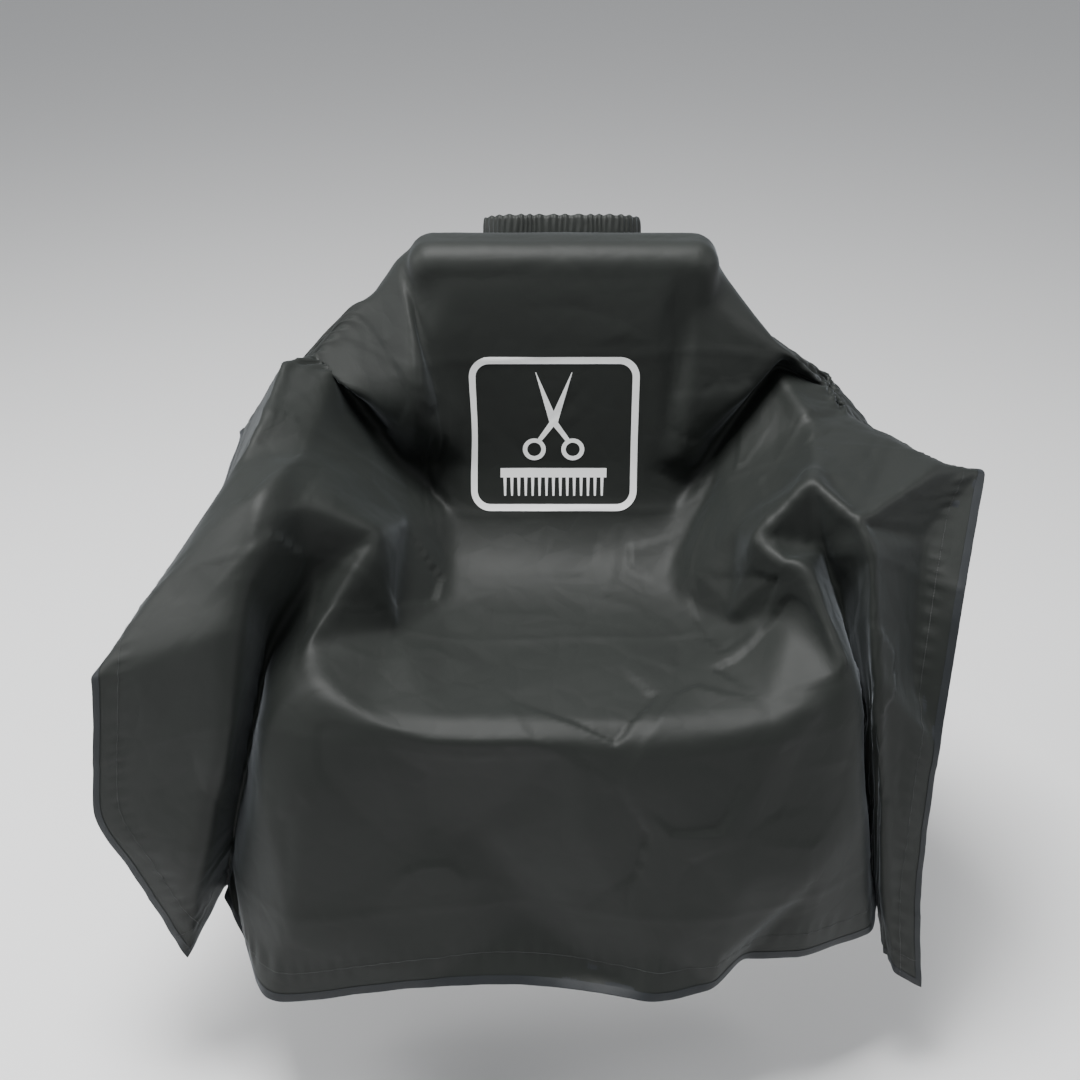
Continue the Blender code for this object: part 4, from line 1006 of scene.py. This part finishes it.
class NeckBand:
    """The gathered casing round the neck, the closure tab and the care label."""

    CENTRE = (0.0, 0.103, -0.042)
    LEAN = 24.0
    RADIUS, HEIGHT, STRAIGHT = 0.044, 0.030, 0.119
    WALL, END = 0.0027, 0.0020
    TAB_X, TAB_Y, TAB_LENGTH, TAB_HEIGHT, TAB_THICKNESS = 0.006, 0.0523, 0.0390, 0.024, 0.0015

    def __init__(self, palette: Palette) -> None:
        """Set the band's own frame."""
        self.palette = palette
        self.frame = np.array(Matrix.Translation(self.CENTRE)
                              @ Matrix.Rotation(-math.radians(self.LEAN), 4, "X"))

    def world(self, local: ARRAY) -> ARRAY:
        """Places in space of points in the band's frame."""
        return local @ self.frame[:3, :3].T + self.frame[:3, 3]

    def path(self, run: ARRAY) -> tuple[ARRAY, ARRAY]:
        """Points and outward directions on the ring, by distance from the rear middle, left side first."""
        half, arc = self.STRAIGHT / 2, math.pi * self.RADIUS
        first, second = half, half + arc
        third, fourth = second + self.STRAIGHT, second + self.STRAIGHT + arc
        turn = np.where(run < third, np.clip((run - first) / self.RADIUS, 0, math.pi),
                        math.pi + np.clip((run - third) / self.RADIUS, 0, math.pi))
        angle = math.pi / 2 + turn
        x = np.select([run <= first, run <= second, run <= third, run <= fourth],
                      [-run, np.full_like(run, -half), run - second - half, np.full_like(run, half)],
                      half - (run - fourth))
        out = np.stack([np.cos(angle), np.sin(angle)], axis=1)
        return np.stack([x, np.zeros_like(x)], axis=1) + self.RADIUS * out, out

    @property
    def around(self) -> float:
        """The ring's length."""
        return 2 * self.STRAIGHT + math.tau * self.RADIUS

    def gathers(self, run: ARRAY) -> ARRAY:
        """How strongly the casing is gathered: nothing at the snaps, full along the elastic."""
        start = self.STRAIGHT / 2
        return np.clip((run - start) / 0.03, 0, 1) * np.clip((self.around - 0.008 - run) / 0.02, 0, 1)

    def casing(self) -> bpy.types.Object:
        """The cloth tube round the elastic, gathered into small pleats."""
        run = np.linspace(self.END, self.around - self.END, 1100)
        path, out = self.path(run)
        pull = self.gathers(run)
        phase = run * 820.0 + 2.2 * np.sin(run * 61.0) + 1.4 * np.sin(run * 143.0 + 1.0)
        rows = []
        # height up the casing, outward distance, how much the pleats show there
        section = ((0.0000, 0.0, 0.2), (0.0012, 1.0, 0.5), (0.0060, 1.15, 1.0), (0.0110, 1.2, 1.2),
                   (0.0190, 1.2, 1.2), (0.0240, 1.15, 1.0), (0.0288, 0.9, 0.6), (0.0300, 0.0, 0.7),
                   (0.0288, -0.9, 0.6), (0.0240, -1.1, 0.8), (0.0150, -1.1, 0.8), (0.0060, -1.1, 0.8),
                   (0.0012, -1.0, 0.5), (0.0000, 0.0, 0.2))
        for index, (height, outward, show) in enumerate(section):
            pleat = 0.00085 * pull * show * np.sin(phase + 0.5 * np.sin(height * 300.0 + run * 90.0))
            top = 0.0011 * pull * (height / self.HEIGHT) ** 2 * np.sin(phase * 0.5 + 0.7 + index * 0.1)
            offset = outward * self.WALL + pleat * np.where(outward < 0, -0.4, 1.0)
            ring = path + out * offset[:, None]
            rows.append(np.column_stack([ring, height + top]))
        local = np.concatenate(rows)
        flat = np.column_stack([np.tile(run, len(rows)), np.repeat([row[0] for row in section], len(run))])
        obj = new_piece("neck_casing_gathered", self.world(local), grid_faces(len(rows), len(run)), flat)
        obj.data.materials.append(self.palette.nylon)
        return obj

    def tab(self) -> bpy.types.Object:
        """The closure tab: a rounded strip of doubled cloth, turned in at its edge."""
        half_height, corner = self.TAB_HEIGHT / 2, 0.007
        angle = np.linspace(-math.pi / 2, math.pi / 2, 24)
        nose = np.column_stack([-self.TAB_LENGTH + corner - corner * np.cos(angle),
                                np.sign(angle) * (half_height - corner) + corner * np.sin(angle)])
        side = np.linspace(0.0, -self.TAB_LENGTH + corner, 30)[:, None]
        low = np.column_stack([side, np.full_like(side, -half_height)])
        outline = np.concatenate([low, nose, (low * (1, -1))[::-1]])
        centre = np.array((-self.TAB_LENGTH / 2, 0.0))
        thick = self.TAB_THICKNESS / 2
        # scale about the middle, height through the tab
        section = ((0.02, 0.80), (0.80, 0.80), (0.86, 0.45), (0.92, 1.0), (0.985, 0.9), (1.0, 0.0),
                   (0.985, -0.9), (0.92, -1.0), (0.86, -0.45), (0.80, -0.80), (0.02, -0.80))
        rows = []
        for scale, level in section:
            ring = centre + (outline - centre) * scale
            depth = self.TAB_Y + thick + level * thick
            rows.append(np.column_stack([self.TAB_X + ring[:, 0], np.full(len(ring), depth),
                                         self.HEIGHT / 2 + ring[:, 1]]))
        local = np.concatenate([np.concatenate([row, row[:1]]) for row in rows])
        faces = grid_faces(len(rows), len(outline) + 1)
        obj = new_piece("closure_tab_cloth", self.world(local), faces, local[:, [0, 2]])
        obj.data.materials.append(self.palette.hem)
        return obj

    def label(self) -> bpy.types.Object:
        """The blank care label inside the front of the band, with a little curl."""
        x, z = np.meshgrid(np.linspace(-0.0225, 0.0225, 46), np.linspace(0.004, 0.026, 24))
        curl = 0.0006 * np.cos(x * 130.0) * (0.026 - z) / 0.022
        sheets = []
        for offset in (0.0, 0.0005):
            y = -self.RADIUS + self.WALL * 1.25 + 0.0004 + curl + offset
            sheets.append(np.stack([x, y, z], axis=-1).reshape(-1, 3))
        rows, columns = x.shape
        front = grid_faces(rows, columns)
        back = front[:, ::-1] + rows * columns
        index = np.arange(rows * columns).reshape(rows, columns)
        rim = np.concatenate([index[0], index[1:, -1], index[-1, -2::-1], index[-2:0:-1, 0]])
        follow = np.roll(rim, -1)
        side = np.stack([follow, rim, rim + rows * columns, follow + rows * columns], axis=1)
        obj = new_piece("care_label_woven", self.world(np.concatenate(sheets)),
                        np.concatenate([front, back, side]))
        obj.data.materials.append(self.palette.label)
        return obj


@dataclass
class Studio:
    """Pale floor, soft lights and the camera."""

    floor_z: float = -1.02
    camera_place: tuple[float, float, float] = (-0.03, -1.82, 0.584)
    camera_pitch: float = 29.7
    lens: float = 48.3

    def build(self) -> None:
        """Place everything that isn't part of the cape."""
        mesh = bpy.data.meshes.new("floor")
        size = 30.0
        mesh.from_pydata([(-size, -size, self.floor_z), (size, -size, self.floor_z),
                          (size, size, self.floor_z), (-size, size, self.floor_z)], [], [(0, 1, 2, 3)])
        floor = bpy.data.objects.new("floor", mesh)
        bpy.context.scene.collection.objects.link(floor)
        mat = bpy.data.materials.new("pale_floor")
        shader = shown_in(mat)[2]
        shader.inputs["Base Color"].default_value = (0.84, 0.84, 0.84, 1)
        shader.inputs["Roughness"].default_value = 0.7
        floor.data.materials.append(mat)
        world = bpy.data.worlds.new("studio")
        bpy.context.scene.world = world
        world.use_nodes = True
        world.node_tree.nodes["Background"].inputs["Color"].default_value = (0.95, 0.97, 1.0, 1)
        world.node_tree.nodes["Background"].inputs["Strength"].default_value = 0.40
        self.light("key", (-0.5, -0.45, 2.6), 1.3, 200.0)
        self.light("rim", (-2.4, -0.3, 0.9), 0.9, 40.0)
        self.light("fill", (2.4, -0.6, 1.0), 0.9, 22.0)
        camera = bpy.data.cameras.new("camera")
        camera.lens = self.lens
        camera.sensor_width = 36.0
        obj = bpy.data.objects.new("camera", camera)
        obj.location = self.camera_place
        obj.rotation_euler = (math.radians(90.0 - self.camera_pitch), 0.0, 0.0)
        bpy.context.scene.collection.objects.link(obj)
        bpy.context.scene.camera = obj

    @staticmethod
    def light(name: str, place: tuple[float, float, float], size: float, power: float) -> None:
        """Add a square area light that faces the cape."""
        data = bpy.data.lights.new(name, "AREA")
        data.size = size
        data.energy = power
        obj = bpy.data.objects.new(name, data)
        obj.location = place
        aim = Vector((0.0, -0.2, -0.4)) - Vector(place)
        obj.rotation_euler = aim.to_track_quat("-Z", "Y").to_euler()
        bpy.context.scene.collection.objects.link(obj)


def dress(palette: Palette) -> None:
    """Give the CAD pieces that stay in view, the snaps and the elastic, their finishes."""
    for name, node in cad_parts.items():
        finish = palette.elastic if name == "neck_elastic" else palette.snap
        if name.startswith(("stud_", "socket_", "neck_elastic")):
            node.data.materials.clear()
            node.data.materials.append(finish)


def sew(piece: bpy.types.Object, body: str, slot: str, *replaced: str) -> bpy.types.Object:
    """Fix a piece to its body and let it stand for its CAD nodes."""
    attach(piece, body)
    if replaced:
        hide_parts(*replaced)
    return piece


def main() -> None:
    """Build the looks in order."""
    logging.basicConfig(level=logging.INFO, format="%(message)s")
    Studio().build()
    palette = Palette()
    dress(palette)
    sheet = ClothSolver(Drape(POINTS, FOLD_LINES)).solve(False)
    cloth = Cloth(sheet, Relief())
    soft = [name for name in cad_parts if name.startswith(("cloth_", "hem_"))]
    cape = sew(CapeCloth(cloth, palette).build(), "cape", "black_nylon", *soft)
    hems = [sew(piece, "cape", "hem_nylon") for piece in Hems(cloth, palette).build()]
    prints = ChestPrint(cloth, palette).build()
    for piece, node in zip(prints, ("print_frame", "print_comb", "print_scissors")):
        sew(piece, "cape", "white_ink", node)
    band = NeckBand(palette)
    casing = sew(band.casing(), "cape", "black_nylon", "neck_casing")
    label = sew(band.label(), "cape", "label_weave", "care_label")
    sew(band.tab(), "tab", "hem_nylon", "closure_tab")


if __name__ == "__main__":
    main()
